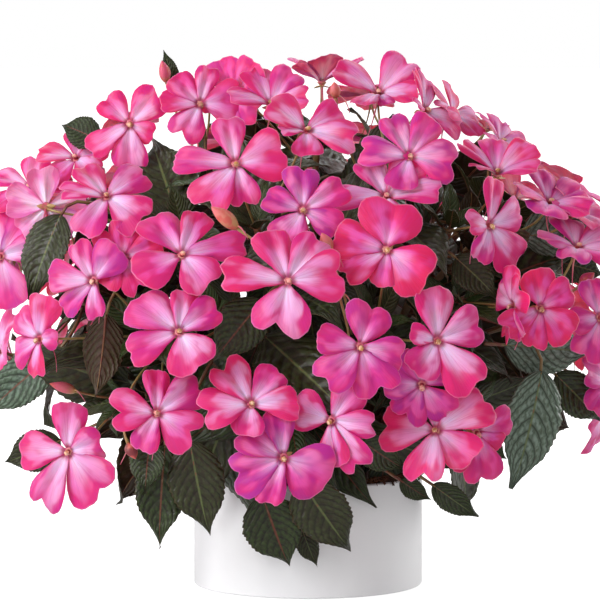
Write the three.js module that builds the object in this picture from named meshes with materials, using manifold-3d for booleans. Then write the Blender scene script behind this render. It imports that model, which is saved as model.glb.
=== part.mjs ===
// A potted New Guinea impatiens: a low white pot, potting soil, leafy shoots that
// branch from the crown, and flowers that cover the rounded plant on all sides.
// Millimetres, +Z up, front towards -Y, origin at the centre of the pot's underside.
import * as THREE from "three";
import { mergeVertices } from "three/addons/utils/BufferGeometryUtils.js";
import Module from "manifold-3d";

const wasm = await Module();
wasm.setup();

// Driving dimensions
const POT = { radius: 74, height: 72, wall: 3.2, floor: 4, edge: 1.4, sides: 32 };
const DRAIN = { radius: 4, ring: 46, count: 4, sides: 6 };
const SOIL = { belowRim: 7, crown: 3, holeDepth: 28 };
const CLEARANCE = 0.3;
const DOME = { centre: 176, across: 205, deep: 192, high: 152 };
const PETAL = { thick: 0.8, hub: 3.6, knob: 2.6, base: 2.4 };
const LEAF = { thick: 0.9, petiole: 15, neckHalf: 1.3, fold: 0.22, wave: 0.09, droop: 0.2 };
const WHORL = { longest: 92, shortest: 56, shape: 0.45, tries: 120, room: 1.2, at: [1, 6] };
const STEM = { foot: 4.2, branch: 2.6, tip: 1.9, inner: 0.72 };
const STALK = { radius: 0.8, sides: 3, steps: 2 };
const STATION = { first: 0.985, step: 0.058, count: 11, high: 6 };
const SEED = 20;

// The front is seen by an eye this far off and this much above the horizon. EYE.aim is
// the point of the upright picture plane through the pot's axis that the eye looks at.
const EYE = { distance: 3000, above: 5, aim: [-5, 183] };

const radians = THREE.MathUtils.degToRad;
const vec = (x, y, z) => new THREE.Vector3(x, y, z);

// Repeatable random numbers from 0 to 1.
function dice(seed) {
  let state = seed >>> 0;
  return () => {
    state = (Math.imul(state, 1664525) + 1013904223) >>> 0;
    return state / 4294967296;
  };
}

// Axes of the eye's view: sight runs from the eye to the plant.
const sight = vec(0, Math.cos(radians(EYE.above)), -Math.sin(radians(EYE.above)));
const viewUp = vec(0, -sight.z, sight.y);
const viewRight = vec(1, 0, 0);
const onPlane = (x, h) => vec(x, 0, 0).addScaledVector(viewUp, h);
const eye = onPlane(...EYE.aim).addScaledVector(sight, -EYE.distance);

// The place on the dome that is seen at x and h of the picture plane, moved towards
// the eye by proud.
function seenOnDome(x, h, proud) {
  const ray = onPlane(x, h).sub(eye).normalize();
  const squash = vec(1 / DOME.across, 1 / DOME.deep, 1 / DOME.high);
  const from = eye.clone().sub(vec(0, 0, DOME.centre)).multiply(squash);
  const along = ray.clone().multiply(squash);
  const a = along.dot(along);
  const b = from.dot(along);
  const rest = b * b - a * (from.dot(from) - 1);
  const reach = (-b - Math.sqrt(Math.max(0, rest))) / a;
  return eye.clone().addScaledVector(ray, reach - proud);
}

// A place on the dome by its angle from the top and its angle round from the front.
function domePlace(fromTop, round, scale = 1) {
  const t = radians(fromTop);
  const r = radians(round);
  return vec(
    DOME.across * scale * Math.sin(t) * Math.sin(r),
    -DOME.deep * scale * Math.sin(t) * Math.cos(r),
    DOME.centre + DOME.high * scale * Math.cos(t),
  );
}

function domeNormal(p) {
  const squared = vec(DOME.across ** 2, DOME.deep ** 2, DOME.high ** 2);
  return vec(p.x, p.y, p.z - DOME.centre).divide(squared).normalize();
}

// Flowers seen from the front: [x, h, across, yaw, pitch, roll, proud]. Yaw turns the
// face to the right and pitch turns it up, from facing the eye; roll turns the petals.
// Flowers in one row press into each other.
const FRONT = [
  [[-116, 298, 52, -10, 2, 36, 2]],
  [[-131, 251, 58, 0, 42, 0, 8]],
  [[-181, 257, 57, -20, 42, 20, 4]],
  [[-170, 244, 50, 178, 10, 0, -34]],
  [[-151, 276, 50, -20, 45, 10, -20]],
  [[-70, 311, 50, 0, 12, 20, 4]],
  [[-24, 311, 54, -5, 48, 0, -6], [-47, 316, 48, -30, 12, 30, -2]],
  [[-1, 294, 55, 12, 38, 38, 12]],
  [[-47, 272, 62, 0, 18, 14, 14]],
  [[-3, 242, 52, 0, 15, -14, 4]],
  [[9, 326, 48, -25, 95, 0, -12]],
  [[46, 318, 53, 6, 48, -14, 2]],
  [[76, 307, 50, 58, 30, 10, -2], [94, 305, 48, 66, 42, 30, -14]],
  [[66, 277, 55, 8, 24, 15, 10]],
  [[51, 251, 60, 0, 36, 10, -14]],
  [[51, 216, 58, 0, 14, 36, 12]],
  [[118, 232, 53, 46, 4, 0, 4]],
  [[123, 266, 50, 12, 62, 0, -12]],
  [[125, 286, 46, 66, 52, 30, -30]],
  [[157, 247, 50, 34, 52, 0, -6], [173, 240, 46, 60, 48, 20, -2]],
  [[-82, 213, 63, 0, 34, 36, -2]],
  [[-13, 196, 67, 0, 18, 36, 20]],
  [[-140, 196, 53, -24, 0, 36, 2], [-121, 211, 46, 12, 8, 0, -2]],
  [[-200, 212, 56, -28, 4, -18, 0]],
  [[-175, 158, 52, -46, 0, -5, 4]],
  [[-84, 163, 58, -4, 24, 36, 12]],
  [[34, 153, 55, 10, 2, 4, 22]],
  [[84, 157, 58, 14, 4, 5, 14], [76, 124, 48, 0, -24, 10, 10]],
  [[151, 178, 50, 18, 0, 10, 8], [133, 180, 48, -68, 0, 0, -6]],
  [[175, 218, 54, 34, 56, 0, 0]],
  [[190, 172, 50, 28, 0, 20, 0]],
  [[195, 131, 48, 48, 0, 0, 0]],
  [[-98, 110, 55, 0, 22, 0, 6]],
  [[-37, 116, 56, 0, 24, 36, 10]],
  [[15, 105, 53, -16, 0, -15, 4]],
  [[-16, 81, 57, 0, -2, 18, 26]],
  [[83, 99, 61, -5, 18, -18, 10], [110, 97, 50, 28, -12, 0, 14]],
  [[-156, 85, 66, -22, 0, 5, 4]],
];

// Sprays of flowers on the sides and behind, each flower given by its angle from the top
// of the dome and its angle round from the front.
const SPRAYS = [
  [[24, 150], [42, 122], [44, 160]],
  [[22, 238], [43, 200], [44, 238]],
  [[58, 96], [70, 84], [76, 104]],
  [[62, 128], [66, 150], [84, 122]],
  [[62, 176], [66, 198], [84, 186]],
  [[64, 220], [62, 238], [84, 210]],
  [[60, 261], [78, 252], [100, 270]],
  [[96, 92], [114, 86], [100, 110]],
  [[88, 142], [104, 132], [88, 162]],
  [[106, 154], [108, 178], [122, 166]],
  [[104, 200], [102, 222], [118, 212]],
  [[84, 232], [102, 240], [104, 256]],
];
const SPRAY = { across: 57, lift: 0.3, ripple: 7, sway: 0.22, fork: 0.3 };

// A flower's frame: its place, and the directions that it faces and that is up on it.
function faced(place, normal, up, roll, across, key, plain = false) {
  const side = up.clone().cross(normal).normalize();
  const top = normal.clone().cross(side);
  const turned = top.multiplyScalar(Math.cos(radians(roll)));
  turned.addScaledVector(side, -Math.sin(radians(roll)));
  return { place, normal, top: turned, across, key, plain };
}

function frontFlower([x, h, across, yaw, pitch, roll, proud], key) {
  const toEye = eye.clone().sub(onPlane(x, h)).normalize();
  const normal = toEye.applyAxisAngle(viewRight, -radians(pitch));
  normal.applyAxisAngle(viewUp, radians(yaw));
  const up = viewUp.clone().applyAxisAngle(viewRight, -radians(pitch));
  up.applyAxisAngle(viewUp, radians(yaw));
  return faced(seenOnDome(x, h, proud), normal, up, roll, across, key);
}

function sprayFlower([fromTop, round], key) {
  const place = domePlace(fromTop, round);
  const out = domeNormal(place);
  place.addScaledVector(out, SPRAY.ripple * Math.sin(key * 2.7));
  const side = vec(0, 0, 1).cross(out).normalize();
  const normal = out.addScaledVector(side, SPRAY.sway * Math.sin(key * 4.1));
  normal.z += SPRAY.lift + SPRAY.sway * Math.sin(key * 1.9);
  const across = SPRAY.across * (1 + 0.09 * Math.sin(key * 5.1));
  return faced(place, normal.normalize(), vec(0, 0, 1), 37 * key, across, key, true);
}

// Turns lists of points and triangles into a solid.
function solidFrom(points, triangles) {
  const g = new THREE.BufferGeometry();
  const flat = triangles.flat().flatMap((i) => points[i].toArray());
  g.setAttribute("position", new THREE.Float32BufferAttribute(flat, 3));
  return solidOf(g);
}

function solidOf(geometry) {
  const bare = geometry.index ? geometry.toNonIndexed() : geometry.clone();
  bare.deleteAttribute("normal");
  bare.deleteAttribute("uv");
  const merged = mergeVertices(bare, 1e-4);
  return new wasm.Manifold(
    new wasm.Mesh({
      numProp: 3,
      vertProperties: merged.attributes.position.array,
      triVerts: new Uint32Array(merged.index.array),
    }),
  );
}

function geometryOf(solid) {
  const mesh = solid.getMesh();
  const points = new Float32Array(mesh.numVert * 3);
  for (let i = 0; i < mesh.numVert; i++) {
    points.set(mesh.vertProperties.subarray(i * mesh.numProp, i * mesh.numProp + 3), i * 3);
  }
  const g = new THREE.BufferGeometry();
  g.setAttribute("position", new THREE.BufferAttribute(points, 3));
  g.setIndex(new THREE.BufferAttribute(mesh.triVerts, 1));
  g.computeVertexNormals();
  return g;
}

// One flower: five notched petals, each twisted so that its left edge lies above its
// neighbour's right edge, round a small knob. A plain flower has two-pointed petals.
const PETALS = 5;
function flower({ place, normal, top, across, key, plain, stalk }) {
  const side = normal.clone().cross(top);
  const points = [];
  const triangles = [];
  const put = (angle, r, s, z) => {
    const x = r * Math.cos(angle) - s * Math.sin(angle);
    const y = r * Math.sin(angle) + s * Math.cos(angle);
    for (const level of [z, z - PETAL.thick]) {
      const p = place.clone().addScaledVector(top, x).addScaledVector(side, y);
      points.push(p.addScaledVector(normal, level));
    }
    return points.length - 2;
  };
  const share = (2 * Math.PI) / PETALS;
  const corner = [...Array(PETALS).keys()].map((i) => put((i + 0.5) * share, PETAL.hub, 0, 0));
  const knob = put(0, 0, 0, PETAL.knob);
  points[knob + 1] = place.clone().addScaledVector(normal, -PETAL.base);
  if (stalk) growStalk(points, triangles, corner.map((i) => i + 1), top, stalk);
  for (let i = 0; i < PETALS; i++) {
    const wobble = (n) => Math.sin(key * 1.7 + i * 2.9 + n * 4.3);
    const length = (across / 2) * (1 + 0.06 * wobble(1));
    const cup = 0.2 + 0.09 * wobble(2);
    const twist = Math.tan(radians(11 + 3 * wobble(3)));
    const angle = i * share;
    const lift = (r, s) => cup * r - (cup * 0.75 * r * r) / length + twist * s;
    const at = (r, s) => put(angle, r * length, s * length, lift(r * length, s * length));
    const right = corner[(i + PETALS - 1) % PETALS];
    const left = corner[i];
    let rim = [];
    let faces = [];
    if (plain) {
      const [lobeR, notch, lobeL] = [at(0.82, -0.46), at(0.88, 0), at(0.82, 0.46)];
      rim = [right, lobeR, notch, lobeL, left];
      faces = [[right, lobeR, notch], [right, notch, left], [left, notch, lobeL]];
    } else {
      const [wideR, wideL] = [at(0.62, -0.44), at(0.62, 0.44)];
      const [lobeR, lobeL] = [at(0.97, -0.25), at(0.97, 0.25)];
      rim = [right, wideR, lobeR, lobeL, wideL, left];
      faces = [[right, wideR, left], [left, wideR, wideL]];
      if (i % 2 === 0) {
        const notch = at(0.85, 0);
        rim.splice(3, 0, notch);
        faces.push([wideR, notch, wideL], [wideR, lobeR, notch], [wideL, notch, lobeL]);
      } else {
        faces.push([wideR, lobeR, wideL], [wideL, lobeR, lobeL]);
      }
    }
    triangles.push([knob, right, left]);
    if (!stalk) triangles.push([knob + 1, left + 1, right + 1]);
    for (const [a, b, c] of faces) triangles.push([a, b, c], [a + 1, c + 1, b + 1]);
    for (let k = 1; k < rim.length; k++) wall(triangles, rim[k - 1], rim[k]);
  }
  return solidFrom(points, triangles);
}

// A three-sided stalk out of the five corners of a flower's underside.
function growStalk(points, triangles, corners, across, line) {
  const last = line.length - 1;
  const rings = line.map((centre, i) => {
    const along = line[Math.min(last, i + 1)].clone().sub(line[Math.max(0, i - 1)]).normalize();
    const first = across.clone().addScaledVector(along, -across.dot(along)).normalize();
    return [36, 156, 276].map((turn) => {
      const out = first.clone().applyAxisAngle(along, -radians(turn));
      return points.push(centre.clone().addScaledVector(out, STALK.radius)) - 1;
    });
  });
  const [c0, c1, c2, c3, c4] = corners;
  const [a, b, c] = rings[0];
  triangles.push([a, c1, c0], [c1, a, b], [b, c2, c1], [b, c3, c2]);
  triangles.push([c3, b, c], [c, c4, c3], [c4, c, a], [a, c0, c4]);
  for (let i = 0; i < last; i++) {
    for (let k = 0; k < 3; k++) {
      const [u, v] = [rings[i][k], rings[i][(k + 1) % 3]];
      const [lowU, lowV] = [rings[i + 1][k], rings[i + 1][(k + 1) % 3]];
      triangles.push([v, u, lowU], [v, lowU, lowV]);
    }
  }
  triangles.push([rings[last][0], rings[last][2], rings[last][1]]);
}

// Two triangles that join the upper and lower points of one step of an outline.
function wall(triangles, a, b) {
  triangles.push([a, a + 1, b + 1], [a, b + 1, b]);
}

// A round rod along a line of points, with its own radius at each point.
function rod(line, radiusAt, sides) {
  const points = [];
  const triangles = [];
  const steps = line.length - 1;
  let across = vec(0.3, 0.2, 1);
  line.forEach((centre, i) => {
    const before = line[Math.max(0, i - 1)];
    const along = line[Math.min(steps, i + 1)].clone().sub(before).normalize();
    across = across.clone().addScaledVector(along, -across.dot(along)).normalize();
    const other = along.clone().cross(across);
    for (let k = 0; k < sides; k++) {
      const a = (2 * Math.PI * k) / sides;
      const p = centre.clone().addScaledVector(across, radiusAt(i / steps) * Math.cos(a));
      points.push(p.addScaledVector(other, radiusAt(i / steps) * Math.sin(a)));
    }
  });
  for (let i = 0; i < steps; i++) {
    for (let k = 0; k < sides; k++) {
      const a = i * sides + k;
      const b = i * sides + ((k + 1) % sides);
      triangles.push([a, b, b + sides], [a, b + sides, a + sides]);
    }
  }
  const last = steps * sides;
  for (let k = 1; k < sides - 1; k++) {
    triangles.push([0, k + 1, k], [last, last + k, last + k + 1]);
  }
  return solidFrom(points, triangles);
}

// A point of a line of points, by its share of the steps.
function pointOf(line, t) {
  const at = Math.min(t * (line.length - 1), line.length - 1.001);
  const i = Math.floor(at);
  return line[i].clone().lerp(line[i + 1], at - i);
}

const bent = (from, bend, to, steps) =>
  new THREE.QuadraticBezierCurve3(from, bend, to).getPoints(steps);

// Buds seen from the front: [x and h of the base, x and h of the tip, depth in front of
// the pot's axis, radius].
const BUDS = [
  [-92, 325, -95, 339, 40, 3.6],
  [18, 315, 17, 325, 92, 3.4],
  [-46, 230, -63, 244, 182, 4.6],
  [14, 214, 9, 227, 188, 4],
  [20, 187, 17, 197, 199, 4.2],
  [-151, 124, -168, 129, 78, 3.4],
  [177, 193, 186, 201, 74, 3.8],
  [-117, 90, -112, 80, 130, 3.8],
];

// Leaves seen from the front: [x and h of the blade's foot, x and h of its tip, width,
// depth of the foot, depth of the tip, side that faces the eye].
const SEEN_LEAVES = [
  [-86, 322, -94, 346, 9, 36, 34, 1],
  [-135, 287, -161, 298, 20, 16, 6, 1],
  [-161, 239, -181, 183, 32, 48, 56, 1],
  [-131, 174, -138, 118, 24, 106, 112, -1],
  [-163, 150, -210, 109, 30, 40, 20, 1],
  [-161, 92, -198, 77, 26, 16, 8, 1],
  [-93, 89, -97, 21, 30, 104, 102, 1],
  [-103, 91, -106, 58, 22, 122, 128, 1],
  [-77, 92, -64, 29, 34, 122, 114, 1],
  [-30, 57, -12, 9, 36, 108, 96, 1],
  [-5, 66, 28, 20, 36, 118, 104, 1],
  [-5, 37, 6, 9, 13, 91, 84, 1],
  [34, 92, 63, 73, 22, 118, 124, 1],
  [139, 224, 187, 232, 30, 56, 48, 1],
  [96, 211, 123, 185, 24, 108, 116, 1],
  [128, 154, 184, 150, 34, 88, 58, 1],
  [152, 137, 133, 60, 38, 88, 94, 1],
  [161, 135, 191, 104, 26, 56, 40, 1],
  [164, 208, 193, 200, 20, 48, 38, 1],
  [112, 92, 129, 80, 14, 108, 114, 1],
  [81, 63, 111, 42, 17, 104, 104, 1],
  [60, 66, 80, 53, 12, 100, 100, 1],
  [-30, 183, -62, 143, 30, 156, 160, 1],
];

// The place at a depth in front of the pot's axis that is seen at x and h.
function seenAt(x, h, depth) {
  const ray = onPlane(x, h).sub(eye).normalize();
  return eye.clone().addScaledVector(ray, (-depth - eye.y) / ray.y);
}

// Main stems: where each leaves the soil [distance from the axis, angle round from the
// front] and the tips of its branches [angle from the top, angle round], which lie on a
// smaller dome. The main stem runs to the first tip and the others branch off it, each
// lower than the one before. The outer stems repeat round the pot.
const INNER_STEMS = [
  { foot: [11, 0], tips: [[12, 10], [36, -48], [34, 42]] },
  { foot: [11, 180], tips: [[18, 190], [36, 128], [36, 232]] },
];
const OUTER = { count: 6, ring: 40, first: 0 };
const OUTER_TIPS = [[54, -16], [58, 20], [84, -20], [90, 14], [120, -3]];
const FORKS = [0.68, 0.56, 0.46, 0.36];

function shootPlans() {
  const outer = Array.from({ length: OUTER.count }, (_, k) => {
    const round = OUTER.first + (360 / OUTER.count) * k;
    return {
      foot: [OUTER.ring, round],
      tips: OUTER_TIPS.map(([fromTop, turn], i) => [
        fromTop + 3 * Math.sin(k * 2.2 + i * 1.4),
        round + turn + 3 * Math.sin(k * 1.3 + i * 2.6),
      ]),
    };
  });
  return [...INNER_STEMS, ...outer];
}

// The centre lines of a shoot: the main stem, then its side branches.
function shootLines({ foot: [ring, round], tips }) {
  const r = radians(round);
  const soilTop = POT.height - SOIL.belowRim;
  const foot = vec(ring * Math.sin(r), -ring * Math.cos(r), soilTop - SOIL.holeDepth);
  const collar = foot.clone().setZ(soilTop + 6);
  const [first, ...others] = tips.map(([fromTop, turn]) => domePlace(fromTop, turn, STEM.inner));
  const rise = foot.clone().setZ(soilTop + 0.45 * (first.z - soilTop));
  const main = [foot, ...bent(collar, rise, first, 4)];
  const branches = others.map((end, i) => {
    const from = pointOf(main, FORKS[i]);
    const ahead = pointOf(main, FORKS[i] + 0.1).sub(from).normalize();
    const bend = from.clone().addScaledVector(ahead, 0.3 * from.distanceTo(end));
    return bent(from, bend, end, 3);
  });
  return [main, ...branches];
}

// A stalk from its place on a branch to the back of what it carries.
function stalkSolid(from, to, heading) {
  const bend = to.clone().addScaledVector(heading, -0.4 * from.distanceTo(to));
  return rod(bent(from, bend, to, STALK.steps), () => STALK.radius, STALK.sides);
}

function bud([x, h, tipX, tipH, depth, radius]) {
  const foot = seenAt(x, h, depth);
  const tip = seenAt(tipX, tipH, depth + 4);
  const line = [0, 0.3, 0.7, 1].map((t) => foot.clone().lerp(tip, t));
  const swell = (t) => radius * (0.25 + 0.75 * Math.sin(Math.PI * (0.1 + 0.8 * t)));
  return { foot, heading: tip.clone().sub(foot).normalize(), solid: rod(line, swell, 5) };
}

// A leaf: a flat stalk from its root on the stem to the blade's foot, and a blade that
// is folded along the midrib, waved at its edges and drawn out to a fine tip.
function leaf({ root, foot, tip, facing, width, wave, thick = LEAF.thick, swell = 1 }) {
  const length = foot.distanceTo(tip);
  const along = tip.clone().sub(foot).normalize();
  const side = along.clone().cross(facing).normalize();
  const up = side.clone().cross(along).normalize();
  const half = (width / 2) * swell;
  const rise = LEAF.droop * length * 0.5;
  const at = (t, s, lift) => {
    const p = foot.clone().lerp(tip, t).addScaledVector(side, s);
    return p.addScaledVector(up, lift + rise * 4 * t * (1 - t) * 0.5);
  };
  const fold = LEAF.fold * half;
  const flutter = wave * LEAF.wave * length;
  const outline = [
    root.clone(),
    at(0, LEAF.neckHalf, 0),
    at(0.36, half, fold + flutter),
    at(0.7, half * 0.74, fold * 0.7 - flutter),
    at(1, 0, 0),
    at(0.7, -half * 0.74, fold * 0.7 + flutter),
    at(0.36, -half, fold - flutter),
    at(0, -LEAF.neckHalf, 0),
    at(0.38, 0, 0),
    at(0.72, 0, 0),
  ];
  const drop = up.clone().multiplyScalar(thick);
  const raise = (thick - LEAF.thick) / 2;
  const points = outline.flatMap((p) => {
    const upper = p.clone().addScaledVector(up, raise);
    return [upper, upper.clone().sub(drop)];
  });
  const faces = [
    [0, 1, 7], [1, 2, 8], [1, 8, 7], [7, 8, 6], [2, 3, 9],
    [2, 9, 8], [8, 9, 6], [6, 9, 5], [3, 4, 9], [9, 4, 5],
  ];
  const triangles = faces.flatMap(([a, b, c]) => [
    [2 * a, 2 * b, 2 * c],
    [2 * a + 1, 2 * c + 1, 2 * b + 1],
  ]);
  for (let k = 0; k < 8; k++) wall(triangles, 2 * k, 2 * ((k + 1) % 8));
  return solidFrom(points, triangles);
}

function boxesMeet(a, b) {
  const p = a.boundingBox();
  const q = b.boundingBox();
  return [0, 1, 2].every((i) => p.min[i] <= q.max[i] && q.min[i] <= p.max[i]);
}

const meets = (a, b) => boxesMeet(a, b) && a.intersect(b).volume() > 1e-6;

// The flowers that are seen from the front, in their nodes.
const frontNodes = FRONT.map((row, r) => row.map((spec, i) => frontFlower(spec, 1 + r * 3 + i)));
const frontSolids = frontNodes.map((row) => wasm.Manifold.union(row.map(flower)));

// All shoots, first their stems and stalks, then the leaves that find room.
const plans = shootPlans().map(shootLines);
const stations = plans.flatMap((lines, shoot) =>
  lines.flatMap((line, k) =>
    Array.from({ length: STATION.count }, (_, i) => {
      const place = pointOf(line, STATION.first - i * STATION.step * (k ? 1 : 0.5));
      return { shoot, line, isMain: k === 0, place, high: i < STATION.high, taken: false };
    }),
  ),
);

// The best free station for what starts at a place and runs on in a direction: near it
// and behind it. Each station carries one leaf or stalk.
function take(p, heading, highOnly) {
  const cost = ({ place }) => {
    const way = p.clone().sub(place);
    return 2 * way.length() - way.dot(heading);
  };
  const free = stations.filter((s) => !s.taken && (s.high || !highOnly));
  const best = free.reduce((a, b) => (cost(b) < cost(a) ? b : a));
  best.taken = true;
  return best;
}

// A main stem or a branch, grown on all sides by extra.
function stemSolid(line, isMain, extra = 0) {
  const [from, sides] = isMain ? [STEM.foot, 6] : [STEM.branch, 3];
  return rod(line, (t) => from + (STEM.tip - from) * t + extra, sides);
}

const shoots = plans.map((lines) => lines.map((line, k) => stemSolid(line, k === 0)));
function carry(end, heading, carried) {
  const { shoot, place } = take(end, heading, true);
  const stalk = stalkSolid(place, end, heading);
  shoots[shoot].push(carried ? stalk.add(carried) : stalk);
}
for (const [{ place, normal }] of frontNodes) {
  carry(place.clone().addScaledVector(normal, -PETAL.base - CLEARANCE), normal);
}
for (const spec of BUDS) {
  const { foot, heading, solid } = bud(spec);
  carry(foot.clone().addScaledVector(heading, 2), heading, solid);
}

// A spray: its first flower on a stalk from a branch, and the others on stalks that part
// from it. The spray is cut back to leave the branch clear.
function spraySolid(flowers) {
  const back = ({ place, normal }) => place.clone().addScaledVector(normal, -PETAL.base);
  const middle = flowers.reduce((sum, f) => sum.add(back(f)), vec(0, 0, 0));
  middle.divideScalar(flowers.length);
  const { place, line, isMain } = take(middle, domeNormal(middle), true);
  const fork = place.clone().lerp(middle, SPRAY.fork);
  const grown = flowers.map((f, i) => {
    const end = back(f);
    const bend = end.clone().addScaledVector(f.normal, -0.4 * end.distanceTo(fork));
    const stalk = bent(end, bend, fork, STALK.steps);
    if (i === 0) stalk.push(place);
    return flower({ ...f, stalk });
  });
  return wasm.Manifold.union(grown).subtract(stemSolid(line, isMain, CLEARANCE));
}

const spraySolids = SPRAYS.map((row, r) =>
  spraySolid(row.map((spec, i) => sprayFlower(spec, 100 + r * 3 + i))),
);
const flowerSolids = [...frontSolids, ...spraySolids];

// The pot: a lathed cup with round drain holes in its floor.
function potSolid() {
  const { radius, height, wall, floor, edge, sides } = POT;
  const profile = [
    [0, 0], [radius - edge, 0], [radius, edge], [radius, height],
    [radius - wall, height], [radius - wall, floor], [0, floor],
  ].map(([r, z]) => new THREE.Vector2(r, z));
  const cup = new THREE.LatheGeometry(profile, sides).rotateX(Math.PI / 2);
  const holes = Array.from({ length: DRAIN.count }, (_, i) => {
    const a = (2 * Math.PI * (i + 0.5)) / DRAIN.count;
    return post(DRAIN.ring * Math.sin(a), DRAIN.ring * Math.cos(a), -1, floor + 1, DRAIN.radius);
  });
  return solidOf(cup).subtract(wasm.Manifold.union(holes));
}

// An upright cylinder from one height to another.
function post(x, y, from, to, radius) {
  const g = new THREE.CylinderGeometry(radius, radius, to - from, DRAIN.sides);
  return solidOf(g.rotateX(Math.PI / 2).translate(x, y, (from + to) / 2));
}

// The soil, slightly crowned, with a hole for each main stem.
function soilSolid() {
  const radius = POT.radius - POT.wall - CLEARANCE;
  const top = POT.height - SOIL.belowRim;
  const profile = [
    [0, POT.floor + CLEARANCE], [radius, POT.floor + CLEARANCE], [radius, top],
    [radius * 0.6, top + SOIL.crown * 0.7], [0, top + SOIL.crown],
  ].map(([r, z]) => new THREE.Vector2(r, z));
  const fill = new THREE.LatheGeometry(profile, POT.sides).rotateX(Math.PI / 2);
  const holes = plans.map(([[{ x, y, z }]]) => {
    const room = (STEM.foot + CLEARANCE) / Math.cos(Math.PI / DRAIN.sides);
    return post(x, y, z - CLEARANCE, top + SOIL.crown + 5, room);
  });
  return solidOf(fill).subtract(wasm.Manifold.union(holes));
}

const pot = potSolid();
const soil = soilSolid();

// The leaves that are seen from the front.
const leaves = SEEN_LEAVES.map(([x, h, tipX, tipH, width, depth, tipDepth, side], i) => {
  const foot = seenAt(x, h, depth);
  const tip = seenAt(tipX, tipH, tipDepth);
  const { place, shoot } = take(foot, tip.clone().sub(foot).normalize(), false);
  const facing = sight.clone().multiplyScalar(-side).addScaledVector(domeNormal(foot), 0.4 * side);
  return { root: place, foot, tip, facing, width, wave: Math.sin(i * 2.4), shoot };
});

// The other leaves stand in turn on the two sides of each branch. Each takes the first
// place, out of some drawn at random, in which it is clear of everything else.
const draw = dice(SEED);
const blade = (spec, start, room) =>
  leaf({
    ...spec,
    root: spec.root.clone().lerp(spec.foot, start),
    thick: LEAF.thick + 2 * room,
    swell: 1 + room / 20,
  });

function drawnLeaf({ place: root, shoot }, turn, length) {
  const out = domeNormal(root);
  const side = vec(0, 0, 1).cross(out).normalize();
  const up = out.clone().cross(side);
  const round = turn + (draw() - 0.5) * 2.2;
  const lean = radians(32 + 60 * draw());
  const heading = side.multiplyScalar(Math.cos(round)).addScaledVector(up, Math.sin(round));
  heading.multiplyScalar(Math.sin(lean)).addScaledVector(out, Math.cos(lean));
  const foot = root.clone().addScaledVector(heading, LEAF.petiole * (1 + 0.6 * draw()));
  const tip = foot.clone().addScaledVector(heading, length);
  tip.z -= length * LEAF.droop;
  const facing = domeNormal(foot.clone().lerp(tip, 0.5));
  facing.add(vec(0, 0, 0.5)).addScaledVector(side, 0.8 * (draw() - 0.5)).normalize();
  const width = length * WHORL.shape * (0.9 + 0.2 * draw());
  return { root, foot, tip, facing, width, wave: 2 * draw() - 1, shoot };
}

const reach = (p) => {
  const q = vec(p.x / DOME.across, p.y / DOME.deep, (p.z - DOME.centre) / DOME.high);
  return q.length();
};

function isClear(spec) {
  const owner = spec.shoot;
  const whole = blade(spec, 0.3, WHORL.room);
  const own = blade(spec, 0.5, 0.1);
  const far = [pot, soil, ...flowerSolids, ...shoots.flatMap((s, i) => (i === owner ? [] : s))];
  return !far.some((s) => meets(whole, s)) && !shoots[owner].some((s) => meets(own, s));
}

for (const spec of leaves) shoots[spec.shoot].push(leaf(spec));
for (const [turn, at] of WHORL.at.entries()) {
  for (let branch = 0; branch < stations.length / STATION.count; branch++) {
    const row = stations.slice(branch * STATION.count, (branch + 1) * STATION.count);
    const station = row.slice(at).find((s) => !s.taken);
    for (let i = 0; station && i < WHORL.tries; i++) {
      const length = WHORL.longest + (WHORL.shortest - WHORL.longest) * (i / WHORL.tries);
      const spec = drawnLeaf(station, branch * 2.4 + turn * Math.PI, length);
      if (reach(spec.tip) > 1.04 || spec.tip.z < 30 || !isClear(spec)) continue;
      shoots[spec.shoot].push(leaf(spec));
      leaves.push(spec);
      station.taken = true;
      break;
    }
  }
}

// The group, a mesh to each piece.
const object = new THREE.Group();
function place(name, solid, color, roughness) {
  const material = new THREE.MeshStandardMaterial({ color, roughness });
  const mesh = new THREE.Mesh(geometryOf(solid), material);
  mesh.name = name;
  object.add(mesh);
}
const label = (kind, i) => `${kind}_${String(i + 1).padStart(2, "0")}`;

place("pot", pot, 0xf2f2f4, 0.35);
place("soil", soil, 0x1d1510, 0.95);
shoots.forEach((parts, i) => {
  place(label("leafy_shoot", i), wasm.Manifold.union(parts), 0x24341f, 0.5);
});
frontSolids.forEach((solid, i) => place(label("bloom", i), solid, 0xe84f9f, 0.6));
spraySolids.forEach((solid, i) => place(label("bloom_spray", i), solid, 0xd94a98, 0.6));

export default object;
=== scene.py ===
"""The looks of a potted New Guinea impatiens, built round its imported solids.

Sizes are in millimetres and angles in degrees unless a line says otherwise. The plan of
the plant (the dome that its flowers lie on, its stems, stalks and buds) is the same as
in the solids' own source, but two flowers of pairs stand a little further back here, so
that petals don't cross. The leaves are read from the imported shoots.
"""

import math
import random

import bmesh
import bpy
import numpy as np
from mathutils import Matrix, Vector
from mathutils.kdtree import KDTree


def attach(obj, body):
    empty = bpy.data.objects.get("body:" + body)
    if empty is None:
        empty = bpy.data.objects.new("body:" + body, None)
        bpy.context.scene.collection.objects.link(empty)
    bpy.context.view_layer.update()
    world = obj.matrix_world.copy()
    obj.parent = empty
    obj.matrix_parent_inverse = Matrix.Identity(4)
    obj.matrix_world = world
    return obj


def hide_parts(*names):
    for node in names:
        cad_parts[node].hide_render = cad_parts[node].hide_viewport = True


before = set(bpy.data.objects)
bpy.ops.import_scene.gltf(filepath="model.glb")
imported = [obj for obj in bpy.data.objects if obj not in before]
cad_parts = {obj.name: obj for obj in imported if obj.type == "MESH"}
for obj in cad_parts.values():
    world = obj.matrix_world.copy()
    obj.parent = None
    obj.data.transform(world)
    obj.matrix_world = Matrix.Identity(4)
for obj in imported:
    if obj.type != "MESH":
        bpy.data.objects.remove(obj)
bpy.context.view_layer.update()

MM = 0.001
BODY = "root"

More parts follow.
